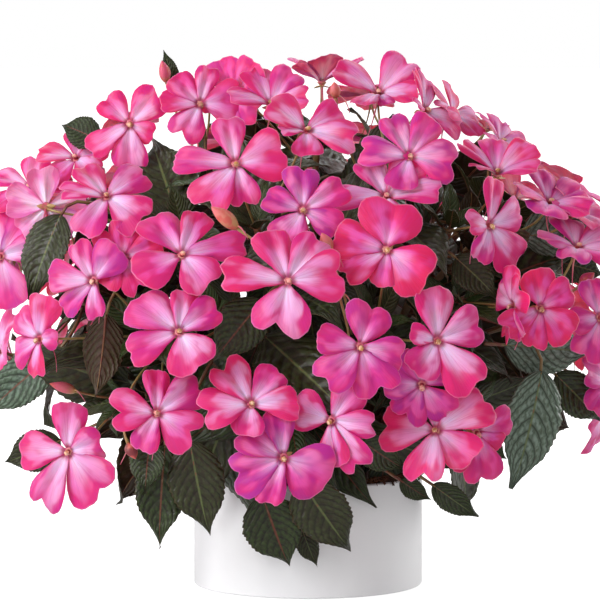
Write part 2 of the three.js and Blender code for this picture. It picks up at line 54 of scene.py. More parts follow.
# The eye that took the photograph, and the width of the picture at the plant
EYE_DISTANCE = 3000
EYE_ABOVE = 5
EYE_STANDS = (-5, 183)
EYE_AIM = (-5.2, 183.3)
PICTURE_WIDTH = 390
SENSOR = 36

# The pot and its soil
POT_RADIUS = 74
POT_HEIGHT = 72
POT_WALL = 3.2
POT_FLOOR = 4
DRAIN_RADIUS = 4
DRAIN_RING = 46
DRAINS = 4
SOIL_BELOW_RIM = 7
SOIL_CROWN = 3
SOIL_HOLE_DEPTH = 28
SOIL_TOP = POT_HEIGHT - SOIL_BELOW_RIM

# The dome that the flowers lie on
DOME_CENTRE = 176
DOME = np.array([205.0, 192.0, 152.0])

# The plant's parts
BACK_OF_FLOWER = 2.4
CLEARANCE = 0.3
STEM_FOOT = 4.2
BRANCH_FOOT = 2.6
STEM_TIP = 1.9
INNER_DOME = 0.72
STATION_FIRST = 0.985
STATION_STEP = 0.058
STATION_COUNT = 11
STATION_HIGH = 6
BLADE_THICK = 0.9
NECK_WIDTH = 2.6


def vec(*numbers):
    return np.array(numbers, float)


def unit(v):
    return v / np.linalg.norm(v)


def turned(v, axis, degrees):
    """v turned about a unit axis."""
    a = math.radians(degrees)
    cross = np.cross(axis, v)
    return v * math.cos(a) + cross * math.sin(a) + axis * np.dot(axis, v) * (1 - math.cos(a))


def smooth(x, low, high):
    t = np.clip((x - low) / (high - low), 0, 1)
    return t * t * (3 - 2 * t)


# Axes of the eye's view
SIGHT = vec(0, math.cos(math.radians(EYE_ABOVE)), -math.sin(math.radians(EYE_ABOVE)))
VIEW_UP = vec(0, -SIGHT[2], SIGHT[1])
VIEW_RIGHT = vec(1, 0, 0)
UPRIGHT = vec(0, 0, 1)


def on_plane(x, h):
    """A point of the picture plane through the pot's axis."""
    return vec(x, 0, 0) + VIEW_UP * h


EYE = on_plane(*EYE_STANDS) - SIGHT * EYE_DISTANCE


def seen_on_dome(x, h, proud):
    """The place on the dome that the eye sees at x and h, moved towards the eye."""
    ray = unit(on_plane(x, h) - EYE)
    start = (EYE - vec(0, 0, DOME_CENTRE)) / DOME
    along = ray / DOME
    a = along @ along
    b = start @ along
    rest = b * b - a * (start @ start - 1)
    reach = (-b - math.sqrt(max(0, rest))) / a
    return EYE + ray * (reach - proud)


def seen_at(x, h, depth):
    """The place that the eye sees at x and h, at a depth in front of the pot's axis."""
    ray = unit(on_plane(x, h) - EYE)
    return EYE + ray * ((-depth - EYE[1]) / ray[1])


def dome_place(from_top, around, scale=1.0):
    t = math.radians(from_top)
    r = math.radians(around)
    shares = vec(math.sin(t) * math.sin(r), -math.sin(t) * math.cos(r), math.cos(t))
    return vec(0, 0, DOME_CENTRE) + shares * DOME * scale


def dome_normal(p):
    return unit((p - vec(0, 0, DOME_CENTRE)) / DOME**2)


# Flowers seen from the front, a line for each CAD node: x, h, width across, yaw, pitch,
# roll and how far the flower stands proud of the dome
FRONT = [
    [(-116, 298, 52, -10, 2, 36, 2)],
    [(-131, 251, 58, 0, 42, 0, 8)],
    [(-181, 257, 57, -20, 42, 20, 4)],
    [(-170, 244, 50, 178, 10, 0, -34)],
    [(-151, 276, 50, -20, 45, 10, -20)],
    [(-70, 311, 50, 0, 12, 20, 4)],
    [(-24, 311, 54, -5, 48, 0, -6), (-47, 316, 48, -30, 12, 30, -2)],
    [(-1, 294, 55, 12, 38, 38, 12)],
    [(-47, 272, 62, 0, 18, 14, 14)],
    [(-3, 242, 52, 0, 15, -14, 4)],
    [(9, 326, 48, -25, 95, 0, -12)],
    [(46, 318, 53, 6, 48, -14, 2)],
    [(76, 307, 50, 58, 30, 10, -2), (94, 305, 48, 66, 42, 30, -14)],
    [(66, 277, 55, 8, 24, 15, 10)],
    [(51, 251, 60, 0, 36, 10, -14)],
    [(51, 216, 58, 0, 14, 36, 12)],
    [(118, 232, 53, 46, 4, 0, 4)],
    [(123, 266, 50, 12, 62, 0, -12)],
    [(125, 286, 46, 66, 52, 30, -30)],
    [(157, 247, 50, 34, 52, 0, -6), (173, 240, 46, 60, 48, 20, -2)],
    [(-82, 213, 63, 0, 34, 36, -2)],
    [(-13, 196, 67, 0, 18, 36, 20)],
    [(-140, 196, 53, -24, 0, 36, 2), (-120, 211, 46, -10, 8, 0, -9)],
    [(-200, 212, 56, -28, 4, -18, 0)],
    [(-175, 158, 52, -46, 0, -5, 4)],
    [(-84, 163, 58, -4, 24, 36, 12)],
    [(34, 153, 55, 10, 2, 4, 22)],
    [(84, 157, 58, 14, 4, 5, 14), (74, 128, 48, 0, -22, 10, 2)],
    [(151, 178, 50, 18, 0, 10, 8), (133, 180, 48, -68, 0, 0, -6)],
    [(175, 218, 54, 34, 56, 0, 0)],
    [(190, 172, 50, 28, 0, 20, 0)],
    [(195, 131, 48, 48, 0, 0, 0)],
    [(-98, 110, 55, 0, 22, 0, 6)],
    [(-37, 116, 56, 0, 24, 36, 10)],
    [(15, 105, 53, -16, 0, -15, 4)],
    [(-16, 81, 57, 0, -2, 18, 26)],
    [(83, 99, 61, -5, 18, -18, 10), (110, 97, 50, 28, -12, 0, 14)],
    [(-156, 85, 66, -22, 0, 5, 4)],
]

# Flowers of the sides and back, a line for each spray: angle from the dome's top and
# angle round from the front
SPRAYS = [
    [(24, 150), (42, 122), (44, 160)],
    [(22, 238), (43, 200), (44, 238)],
    [(58, 96), (70, 84), (76, 104)],
    [(62, 128), (66, 150), (84, 122)],
    [(62, 176), (66, 198), (84, 186)],
    [(64, 220), (62, 238), (84, 210)],
    [(60, 261), (78, 252), (100, 270)],
    [(96, 92), (114, 86), (100, 110)],
    [(88, 142), (104, 132), (88, 162)],
    [(106, 154), (108, 178), (122, 166)],
    [(104, 200), (102, 222), (118, 212)],
    [(84, 232), (102, 240), (104, 256)],
]
SPRAY_ACROSS = 57
SPRAY_LIFT = 0.3
SPRAY_RIPPLE = 7
SPRAY_SWAY = 0.22
SPRAY_FORK = 0.3

# Buds: x and h of the base, x and h of the tip, depth in front of the axis, radius
BUDS = [
    (-92, 325, -95, 339, 40, 3.6),
    (18, 315, 17, 325, 92, 3.4),
    (-46, 230, -63, 244, 182, 4.6),
    (14, 214, 9, 227, 188, 4),
    (20, 187, 17, 197, 199, 4.2),
    (-151, 124, -168, 129, 78, 3.4),
    (177, 193, 186, 201, 74, 3.8),
    (-117, 90, -112, 80, 130, 3.8),
]

# Petals of the flowers of the front, by row and place in FRONT. Each flower has four rows
# of five numbers: the petals' turns from upright, clockwise, their reach in hundredths of
# half the width, half the angle that they fill, and their notches' depth in hundredths
PETAL_PLANS = {
    (0, 0): ((-42, 44, 117, 180, 236), (90, 105, 68, 112, 118), (32, 34, 32, 32, 20), (15, 8, 10, 8, 3)),
    (1, 0): ((-36, 47, 133, 206, 272), (95, 110, 115, 115, 100), (30, 28, 32, 26, 22), (5, 12, 14, 4, 10)),
    (2, 0): ((0, 66, 150, 226, 284), (80, 100, 55, 105, 95), (32, 34, 30, 30, 28), (10, 10, 0, 10, 10)),
    (5, 0): ((-43, 13, 88, 208, 272), (96, 95, 110, 106, 100), (28, 24, 42, 36, 22), (5, 5, 26, 18, 3)),
    (6, 0): ((-30, 28, 95, 165, 262), (100, 105, 90, 70, 100), (30, 30, 28, 30, 32), (12, 15, 10, 10, 10)),
    (7, 0): ((-52, 57, 112, 187, 262), (105, 100, 115, 80, 62), (40, 26, 28, 34, 26), (8, 3, 8, 10, 0)),
    (8, 0): ((-12, 76, 165, 216, 275), (97, 103, 88, 115, 120), (26, 40, 27, 30, 17), (4, 14, 8, 20, 2)),
    (9, 0): ((-3, 60, 119, 210, 292), (108, 112, 95, 98, 95), (30, 23, 29, 38, 28), (15, 5, 5, 8, 5)),
    (11, 0): ((-58, 42, 110, 165, 214), (115, 120, 95, 60, 95), (36, 32, 26, 25, 24), (5, 15, 5, 5, 5)),
    (12, 0): ((-8, 34, 128, 196, 280), (105, 110, 110, 75, 55), (22, 26, 32, 28, 28), (10, 10, 12, 5, 5)),
    (13, 0): ((-24, 31, 101, 200, 278), (105, 108, 108, 88, 112), (25, 24, 38, 32, 27), (6, 5, 12, 5, 8)),
    (14, 0): ((-28, 38, 88, 180, 262), (90, 100, 110, 70, 110), (28, 30, 20, 34, 24), (5, 5, 5, 5, 8)),
    (15, 0): ((10, 128, 188, 238, 286), (112, 110, 78, 106, 114), (52, 42, 28, 26, 30), (14, 4, 0, 5, 8)),
    (16, 0): ((12, 72, 138, 205, 275), (112, 115, 120, 90, 75), (28, 28, 30, 28, 32), (8, 10, 6, 5, 5)),
    (17, 0): ((-48, 8, 62, 110, 250), (110, 115, 110, 100, 75), (30, 26, 28, 24, 28), (10, 10, 8, 3, 5)),
    (20, 0): ((-34, 21, 79, 145, 240), (108, 97, 125, 95, 102), (31, 22, 18, 36, 38), (3, 3, 5, 3, 3)),
    (21, 0): ((-22, 34, 84, 190, 276), (100, 98, 104, 105, 120), (25, 26, 34, 42, 22), (5, 5, 20, 20, 8)),
    (22, 0): ((-23, 40, 171, 228, 276), (97, 100, 88, 103, 110), (20, 36, 24, 20, 25), (4, 5, 5, 4, 5)),
    (23, 0): ((-10, 38, 78, 160, 262), (110, 105, 110, 125, 100), (30, 26, 25, 34, 38), (10, 8, 5, 5, 10)),
    (24, 0): ((-50, 17, 92, 182, 244), (97, 110, 60, 92, 98), (27, 30, 34, 32, 30), (5, 8, 0, 8, 5)),
    (25, 0): ((-52, 6, 54, 152, 244), (120, 92, 98, 100, 115), (34, 22, 28, 44, 27), (5, 3, 6, 5, 8)),
    (26, 0): ((18, 102, 157, 225, 283), (102, 97, 118, 115, 97), (42, 30, 34, 31, 26), (20, 4, 24, 10, 4)),
    (27, 0): ((-4, 68, 142, 214, 286), (110, 106, 126, 84, 60), (30, 32, 28, 38, 30), (3, 12, 5, 5, 0)),
    (28, 0): ((-10, 60, 130, 192, 240), (97, 95, 105, 100, 108), (40, 34, 36, 24, 26), (2, 5, 3, 10, 10)),
    (32, 0): ((-2, 55, 127, 202, 272), (100, 120, 110, 95, 108), (21, 28, 36, 26, 42), (2, 10, 24, 5, 26)),
    (33, 0): ((-35, 36, 91, 190, 257), (116, 100, 103, 75, 114), (32, 28, 26, 40, 36), (20, 4, 4, 3, 16)),
    (34, 0): ((-71, 37, 95, 176, 146), (95, 100, 103, 105, 130), (42, 33, 23, 30, 24), (8, 3, 5, 2, 10)),
    (35, 0): ((-7, -56, 118, 199, 247), (100, 110, 108, 103, 120), (25, 29, 50, 22, 32), (2, 6, 3, 3, 18)),
    (36, 0): ((0, 61, 131, 193, 275), (85, 120, 98, 112, 114), (26, 26, 32, 28, 36), (15, 8, 5, 14, 20)),
    (36, 1): ((65, 112, 165, 225, 330), (100, 75, 130, 110, 75), (32, 26, 30, 28, 34), (5, 0, 12, 5, 5)),
    (37, 0): ((3, 76, 141, 207, 270), (92, 72, 115, 120, 97), (28, 42, 40, 24, 29), (4, 5, 20, 12, 6)),
}

# How steeply petals rise from the heart, and the flowers that are more cupped
CUP = 0.2
CUPPED = {
    (2, 0): 0.3, (5, 0): 0.3, (6, 0): 0.5, (6, 1): 0.4, (7, 0): 0.32, (10, 0): 0.75, (11, 0): 0.5,
    (12, 0): 0.4, (12, 1): 0.4, (14, 0): 0.42, (17, 0): 0.6, (18, 0): 0.5, (19, 0): 0.5, (19, 1): 0.5,
    (29, 0): 0.4, (20, 0): 0.25,
}

# How purple, pale and red a flower is, by its row and place in FRONT
TONES = {
    (0, 0): (0.35, 0.9, 0.2),
    (1, 0): (0.3, 0.9, 0.3),
    (2, 0): (0.3, 0.8, 0.3),
    (3, 0): (0.1, 1.0, 0.0),
    (5, 0): (0.4, 0.7, 0.6),
    (6, 0): (0.4, 0.7, 0.5),
    (7, 0): (0.1, 0.9, 0.5),
    (8, 0): (0.3, 0.7, 0.5),
    (9, 0): (0.8, 0.5, 0.2),
    (11, 0): (0.2, 0.9, 0.3),
    (12, 0): (0.1, 1.0, 0.1),
    (13, 0): (0.8, 0.6, 0.0),
    (14, 0): (0.1, 1.0, 0.0),
    (15, 0): (0.0, 0.3, 1.0),
    (16, 0): (0.3, 1.0, 0.2),
    (17, 0): (0.2, 0.6, 0.7),
    (20, 0): (0.3, 0.5, 0.8),
    (21, 0): (0.2, 0.9, 0.5),
    (22, 0): (0.7, 0.7, 0.2),
    (22, 1): (0.1, 0.0, 0.9),
    (23, 0): (0.6, 0.8, 0.0),
    (24, 0): (0.2, 0.7, 0.6),
    (25, 0): (0.4, 0.8, 0.5),
    (26, 0): (0.7, 0.4, 0.2),
    (27, 0): (0.1, 1.0, 0.0),
    (27, 1): (1.0, 0.1, 0.1),
    (28, 0): (0.1, 0.0, 1.0),
    (32, 0): (0.4, 0.7, 0.3),
    (33, 0): (0.2, 0.8, 0.5),
    (34, 0): (0.1, 0.9, 0.3),
    (35, 0): (0.9, 0.4, 0.0),
    (36, 0): (0.0, 1.0, 0.4),
    (36, 1): (0.3, 0.2, 0.7),
    (37, 0): (0.3, 1.0, 0.0),
}


def wobble(key, i, n):
    """The unevenness number n of petal i of a flower, from -1 to 1."""
    return math.sin(key * 1.7 + i * 2.9 + n * 4.3)


def drawn_petals(key, roll):
    """Petals of a flower that the photograph doesn't show well: evenly set, with the
    unevenness of one of the flowers that it shows."""
    plan = list(PETAL_PLANS.values())[key % len(PETAL_PLANS)]
    turns = [-roll - i * 72 + 7 * wobble(key, i, 17) for i in range(5)]
    reaches = [50 + 0.5 * reach for reach in plan[1]]
    halves = [0.5 * (half + 38) for half in plan[2]]
    return turns, reaches, halves, plan[3]


class Flower:
    """A flower's place, the way it faces, its petals' up, its width and its own number."""

    def __init__(self, place, normal, up, roll, across, key, plan=None, tone=None, cup=CUP):
        self.right = unit(np.cross(up, normal))
        self.upright = np.cross(normal, self.right)
        a = math.radians(roll)
        self.place = place
        self.normal = normal
        self.top = self.upright * math.cos(a) - self.right * math.sin(a)
        self.side = np.cross(normal, self.top)
        self.across = across
        self.key = key
        self.cup = cup
        self.petals = plan or drawn_petals(key, roll)
        drawn = [0.5 + 0.5 * math.sin(key * (2.3 + n) + n) for n in range(3)]
        self.tone = tone or (0.7 * drawn[0], 0.3 + 0.6 * drawn[1], 0.7 * drawn[2])

    def back(self, gap=0.0):
        return self.place - self.normal * (BACK_OF_FLOWER + gap)


def front_flower(row, i):
    x, h, across, yaw, pitch, roll, proud = FRONT[row][i]
    normal = turned(unit(EYE - on_plane(x, h)), VIEW_RIGHT, -pitch)
    normal = turned(normal, VIEW_UP, yaw)
    up = turned(turned(VIEW_UP, VIEW_RIGHT, -pitch), VIEW_UP, yaw)
    key = 1 + row * 3 + i
    seat = (row, i)
    place = seen_on_dome(x, h, proud)
    looks = PETAL_PLANS.get(seat), TONES.get(seat), CUPPED.get(seat, CUP)
    return Flower(place, normal, up, roll, across, key, *looks)


def spray_flower(row, i):
    from_top, around = SPRAYS[row][i]
    key = 100 + row * 3 + i
    place = dome_place(from_top, around)
    out = dome_normal(place)
    place = place + out * SPRAY_RIPPLE * math.sin(key * 2.7)
    side = unit(np.cross(UPRIGHT, out))
    normal = out + side * SPRAY_SWAY * math.sin(key * 4.1)
    normal[2] += SPRAY_LIFT + SPRAY_SWAY * math.sin(key * 1.9)
    across = SPRAY_ACROSS * (1 + 0.09 * math.sin(key * 5.1))
    return Flower(place, unit(normal), UPRIGHT, 37 * key, across, key)


def bent(start, bend, end, steps):
    """Points of a quadratic curve."""
    t = np.linspace(0, 1, steps + 1)[:, None]
    return start * (1 - t) ** 2 + bend * 2 * t * (1 - t) + end * t**2


def point_of(line, t):
    at = min(t * (len(line) - 1), len(line) - 1.001)
    i = int(at)
    return line[i] + (line[i + 1] - line[i]) * (at - i)


# The stems: where each leaves the soil (distance from the axis and angle round) and the
# tips of its branches (angle from the dome's top and angle round)
INNER_STEMS = [
    ((11, 0), [(12, 10), (36, -48), (34, 42)]),
    ((11, 180), [(18, 190), (36, 128), (36, 232)]),
]
OUTER_COUNT = 6
OUTER_RING = 40
OUTER_TIPS = [(54, -16), (58, 20), (84, -20), (90, 14), (120, -3)]
FORKS = [0.68, 0.56, 0.46, 0.36]


def shoot_plans():
    plans = list(INNER_STEMS)
    for k in range(OUTER_COUNT):
        around = 360 / OUTER_COUNT * k
        tips = [
            (t + 3 * math.sin(k * 2.2 + i * 1.4), around + turn + 3 * math.sin(k * 1.3 + i * 2.6))
            for i, (t, turn) in enumerate(OUTER_TIPS)
        ]
        plans.append(((OUTER_RING, around), tips))
    return plans


def shoot_lines(plan):
    """The centre lines of a shoot: the main stem, then its side branches."""
    (ring, around), tips = plan
    r = math.radians(around)
    foot = vec(ring * math.sin(r), -ring * math.cos(r), SOIL_TOP - SOIL_HOLE_DEPTH)
    collar = vec(foot[0], foot[1], SOIL_TOP + 6)
    ends = [dome_place(from_top, turn, INNER_DOME) for from_top, turn in tips]
    rise = vec(foot[0], foot[1], SOIL_TOP + 0.45 * (ends[0][2] - SOIL_TOP))
    main = np.vstack([foot, bent(collar, rise, ends[0], 4)])
    lines = [main]
    for fork, end in zip(FORKS, ends[1:]):
        start = point_of(main, fork)
        ahead = unit(point_of(main, fork + 0.1) - start)
        bend = start + ahead * 0.3 * np.linalg.norm(end - start)
        lines.append(bent(start, bend, end, 3))
    return lines


class Station:
    """A place on a stem that can carry a leaf or a stalk."""

    def __init__(self, shoot, line, place, high):
        self.shoot = shoot
        self.line = line
        self.place = place
        self.high = high
        self.taken = False


shoots = [shoot_lines(plan) for plan in shoot_plans()]
stations = []
for number, lines in enumerate(shoots):
    for k, line in enumerate(lines):
        step = STATION_STEP * (1 if k else 0.5)
        for i in range(STATION_COUNT):
            place = point_of(line, STATION_FIRST - i * step)
            stations.append(Station(number, line, place, i < STATION_HIGH))


def take(p, heading):
    """The best free high station for what ends at p and runs on in a direction."""

    def cost(station):
        way = p - station.place
        return 2 * np.linalg.norm(way) - way @ heading

    best = min((s for s in stations if s.high and not s.taken), key=cost)
    best.taken = True
    return best


front_flowers = [[front_flower(r, i) for i in range(len(row))] for r, row in enumerate(FRONT)]
spray_flowers = [[spray_flower(r, i) for i in range(3)] for r in range(len(SPRAYS))]


# Meshes

class Piece:
    """Gathers the points and faces of one piece, with marks that its materials read:
    surface holds where a point lies on its petal or leaf, and tint that part's tone, which on a leaf also
    holds how much painted grey-green sheen its colour gets."""

    def __init__(self, name, *materials):
        self.name = name
        self.materials = materials
        self.points = []
        self.faces = []
        self.kinds = []
        self.surface = []
        self.tint = []
        self.count = 0

    def add(self, points, faces, kind=0, surface=(0, 0, 0), tint=(0, 0, 0)):
        points = np.asarray(points, float).reshape(-1, 3)
        self.points.append(points)
        for block in faces:
            self.faces += (np.asarray(block) + self.count).tolist()
        kinds = kind if isinstance(kind, (list, tuple)) else [kind] * len(faces)
        for block, k in zip(faces, kinds):
            self.kinds += [k] * len(block)
        self.surface.append(np.broadcast_to(surface, points.shape))
        self.tint.append(np.broadcast_to(tint, points.shape))
        self.count += len(points)

    def finish(self, slot, *nodes):
        """Makes the piece, which rides on the plant's one body and stands for nodes."""
        mesh = bpy.data.meshes.new(self.name)
        mesh.from_pydata((np.vstack(self.points) * MM).tolist(), [], self.faces)
        mesh.polygons.foreach_set("material_index", self.kinds)
        mesh.polygons.foreach_set("use_smooth", [True] * len(mesh.polygons))
        for name, blocks in (("surface", self.surface), ("tint", self.tint)):
            made = mesh.attributes.new(name, "FLOAT_VECTOR", "POINT")
            made.data.foreach_set("vector", np.vstack(blocks).astype(np.float32).ravel())
        for material in self.materials:
            mesh.materials.append(material)
        mesh.update()
        piece = bpy.data.objects.new(self.name, mesh)
        bpy.context.scene.collection.objects.link(piece)
        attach(piece, BODY)
        if nodes:
            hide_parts(*nodes)
        return piece


def sheet_faces(rows, columns):
    """Upper, lower and rim faces of a thin sheet whose lower points follow its upper."""
    count = rows * columns
    index = np.arange(count).reshape(rows, columns)
    corners = [index[:-1, :-1], index[1:, :-1], index[1:, 1:], index[:-1, 1:]]
    upper = np.stack(corners, -1).reshape(-1, 4)
    ring = np.concatenate([index[0, :-1], index[:-1, -1], index[-1, :0:-1], index[:0:-1, 0]])
    after = np.roll(ring, -1)
    rim = np.stack([ring, after, after + count, ring + count], -1)
    return [upper, (upper + count)[:, ::-1], rim]


def sheet(upper, drop, marks):
    """Points, faces and marks of a thin sheet whose underside lies a drop below its top."""
    points = np.concatenate([upper.reshape(-1, 3), (upper - drop).reshape(-1, 3)])
    return points, sheet_faces(*upper.shape[:2]), np.concatenate([marks.reshape(-1, 3)] * 2)


def round_faces(rings, sides):
    """The faces between rings of points, and the fans to the two points that close the
    ends and follow the rings."""
    k = np.arange(sides)
    after = (k + 1) % sides
    rows = np.arange(rings - 1)[:, None] * sides
    walls = np.stack([rows + k, rows + after, rows + sides + after, rows + sides + k], -1)
    first = rings * sides
    last = first - sides
    caps = np.vstack([
        np.stack([after, k, np.full(sides, first)], -1),
        np.stack([last + k, last + after, np.full(sides, first + 1)], -1),
    ])
    return [walls.reshape(-1, 4), caps]


def tube(path, radii, sides):
    """Points and faces of a round tube with pointed ends along a line of points."""
    path = np.asarray(path, float)
    steps = len(path)
    radii = np.broadcast_to(radii, steps)
    along = np.gradient(path, axis=0)
    across = vec(0.3, 0.2, 1)
    ring = []
    turns = np.arange(sides) * 2 * math.pi / sides
    for centre, way, radius in zip(path, along, radii):
        way = unit(way)
        across = unit(across - way * (across @ way))
        other = np.cross(way, across)
        ring.append(centre + radius * (np.outer(np.cos(turns), across) + np.outer(np.sin(turns), other)))
    return np.vstack([*ring, path[0], path[-1]]), round_faces(steps, sides)


def lathe(profile, sides):
    """Points and faces of a closed form that a profile of (radius, height) turns out."""
    rings = [(r, z) for r, z in profile if r > 0]
    turns = np.arange(sides) * 2 * math.pi / sides
    points = [np.stack([r * np.cos(turns), r * np.sin(turns), np.full(sides, z)], -1) for r, z in rings]
    points = np.vstack([*points, (0, 0, profile[0][1]), (0, 0, profile[-1][1])])
    return points, round_faces(len(rings), sides)


def smoothed(line, spacing):
    """A line of points with its corners rounded, in steps of about a spacing."""
    lengths = np.linalg.norm(np.diff(line, axis=0), axis=1)
    at = np.concatenate([[0], np.cumsum(lengths)])
    fine = np.linspace(0, at[-1], max(4, int(at[-1] / spacing)) + 1)
    points = np.stack([np.interp(fine, at, line[:, i]) for i in range(3)], -1)
    for _ in range(6):
        points[1:-1] = (points[:-2] + 2 * points[1:-1] + points[2:]) / 4
    return points


# Materials

class Graph:
    """Short ways to lay nodes in a shader tree. A socket, a number or a colour can be
    given for any input."""

    def __init__(self, tree):
        self.tree = tree

    def put(self, socket, value):
        if isinstance(value, bpy.types.NodeSocket):
            self.tree.links.new(value, socket)
        else:
            socket.default_value = value

    def node(self, kind, inputs=(), **settings):
        made = self.tree.nodes.new(kind)
        for name, value in settings.items():
            setattr(made, name, value)
        for name, value in dict(inputs).items():
            self.put(made.inputs[name], value)
        return made

    def math(self, operation, *values):
        return self.node("ShaderNodeMath", dict(enumerate(values)), operation=operation).outputs[0]

    def times(self, first, *others):
        for value in others:
            first = self.math("MULTIPLY", first, value)
        return first

    def plus(self, a, b):
        return self.math("ADD", a, b)

    def size(self, value):
        return self.math("ABSOLUTE", value)

    def ramp(self, value, low, high, to_low=0.0, to_high=1.0):
        """Maps value from low..high to to_low..to_high with soft ends."""
        inputs = {"Value": value, "From Min": low, "From Max": high}
        inputs |= {"To Min": to_low, "To Max": to_high}
        made = self.node("ShaderNodeMapRange", inputs, interpolation_type="SMOOTHSTEP")
        return made.outputs["Result"]

    def mix(self, factor, a, b, blend="MIX"):
        made = self.node("ShaderNodeMix", data_type="RGBA", blend_type=blend)
        self.put(made.inputs["Factor"], factor)
        self.put(made.inputs[6], a)
        self.put(made.inputs[7], b)
        return made.outputs[2]

    def noise(self, place, detail, scale=1.0):
        inputs = {"Vector": place, "Scale": scale, "Detail": detail}
        return self.node("ShaderNodeTexNoise", inputs).outputs["Fac"]

    def combine(self, x, y, z):
        return self.node("ShaderNodeCombineXYZ", {"X": x, "Y": y, "Z": z}).outputs[0]

    def parts(self, name):
        """The three numbers of a mark of the mesh."""
        made = self.node("ShaderNodeAttribute", attribute_name=name)
        return self.node("ShaderNodeSeparateXYZ", {0: made.outputs["Vector"]}).outputs

    def group(self, tree, **inputs):
        made = self.node("ShaderNodeGroup")
        made.node_tree = tree
        for name, value in inputs.items():
            self.put(made.inputs[name.replace("_", " ")], value)
        return made.outputs


def rgb(code):
    """A colour from six hexadecimal digits as they are seen, in linear light."""
    shares = [int(code[i : i + 2], 16) / 255 for i in (0, 2, 4)]
    return (*[((s + 0.055) / 1.055) ** 2.4 if s > 0.04045 else s / 12.92 for s in shares], 1)


def shader_group(name, inputs, outputs):
    """A new node group with number sockets, its graph, and its input and output nodes."""
    tree = bpy.data.node_groups.new(name, "ShaderNodeTree")
    for label, default in inputs:
        made = tree.interface.new_socket(label, in_out="INPUT", socket_type="NodeSocketFloat")
        made.default_value = default
    for label in outputs:
        tree.interface.new_socket(label, in_out="OUTPUT", socket_type="NodeSocketFloat")
    graph = Graph(tree)
    return tree, graph, graph.node("NodeGroupInput").outputs, graph.node("NodeGroupOutput").inputs


PLACE_SOCKETS = [("Along", 0), ("Across", 0), ("Seed", 0)]


def stretched(g, given, *scales):
    """The place on a petal, leaf or stalk, each of its three numbers times its scale."""
    return g.combine(*[g.times(given[name], scale) for (name, _), scale in zip(PLACE_SOCKETS, scales)])


def fibres_group():
    """Fine lines that run along a petal, sepal or stalk, and soft blotches."""
    sockets = [*PLACE_SOCKETS, ("Lines", 24), ("Stretch", 3)]
    tree, g, given, out = shader_group("Fibres", sockets, ["Fibre", "Blotch"])
    lines = stretched(g, given, given["Stretch"], given["Lines"], 37.0)
    g.put(out["Fibre"], g.ramp(g.noise(lines, 3.0), 0.3, 0.7))
    wide = stretched(g, given, 2.2, 1.7, 19.0)
    g.put(out["Blotch"], g.ramp(g.noise(wide, 1.0), 0.35, 0.65))
    return tree


VEINS = 9
VEIN_SWEEP = 0.34
VEIN_BEND = 1.5


def veins_group():
    """The veins of a leaf: arcs from the midrib towards the tip."""
    outputs = ["Vein", "Midrib", "Puff", "Mottle"]
    tree, g, given, out = shader_group("Leaf veins", PLACE_SOCKETS, outputs)
    off = g.size(given["Across"])
    swept = g.times(g.math("POWER", off, VEIN_BEND), VEIN_SWEEP)
    side = g.times(g.math("GREATER_THAN", given["Across"], 0.0), 0.5)
    phase = g.plus(g.times(g.math("SUBTRACT", given["Along"], swept), VEINS), side)
    cell = g.size(g.math("SUBTRACT", g.math("FRACT", phase), 0.5))
    g.put(out["Vein"], g.ramp(cell, 0.37, 0.49))
    g.put(out["Puff"], g.ramp(cell, 0.5, 0.1))
    g.put(out["Midrib"], g.ramp(off, 0.06, 0.015))
    g.put(out["Mottle"], g.noise(stretched(g, given, 22.0, 9.0, 23.0), 4.0))
    return tree


def grain_group():
    """Fine unevenness of a surface, by its place in space."""
    tree, g, given, out = shader_group("Grain", [("Scale", 300.0), ("Detail", 3.0)], ["Grain"])
    place = g.node("ShaderNodeTexCoord").outputs["Object"]
    g.put(out["Grain"], g.noise(place, given["Detail"], given["Scale"]))
    return tree


FIBRES = fibres_group()
LEAF_VEINS = veins_group()
GRAIN = grain_group()


def new_material(name, **plain):
    """A material with a Principled shader, its plain values set, and its graph."""
    material = bpy.data.materials.new(name)
    material.use_nodes = True
    graph = Graph(material.node_tree)
    shader = material.node_tree.nodes["Principled BSDF"]
    for label, value in plain.items():
        shader.inputs[label.replace("_", " ")].default_value = value
    return material, graph, shader.inputs


def bump(g, height, strength, distance):
    made = g.node("ShaderNodeBump", {"Height": height, "Strength": strength, "Distance": distance * MM})
    return made.outputs["Normal"]


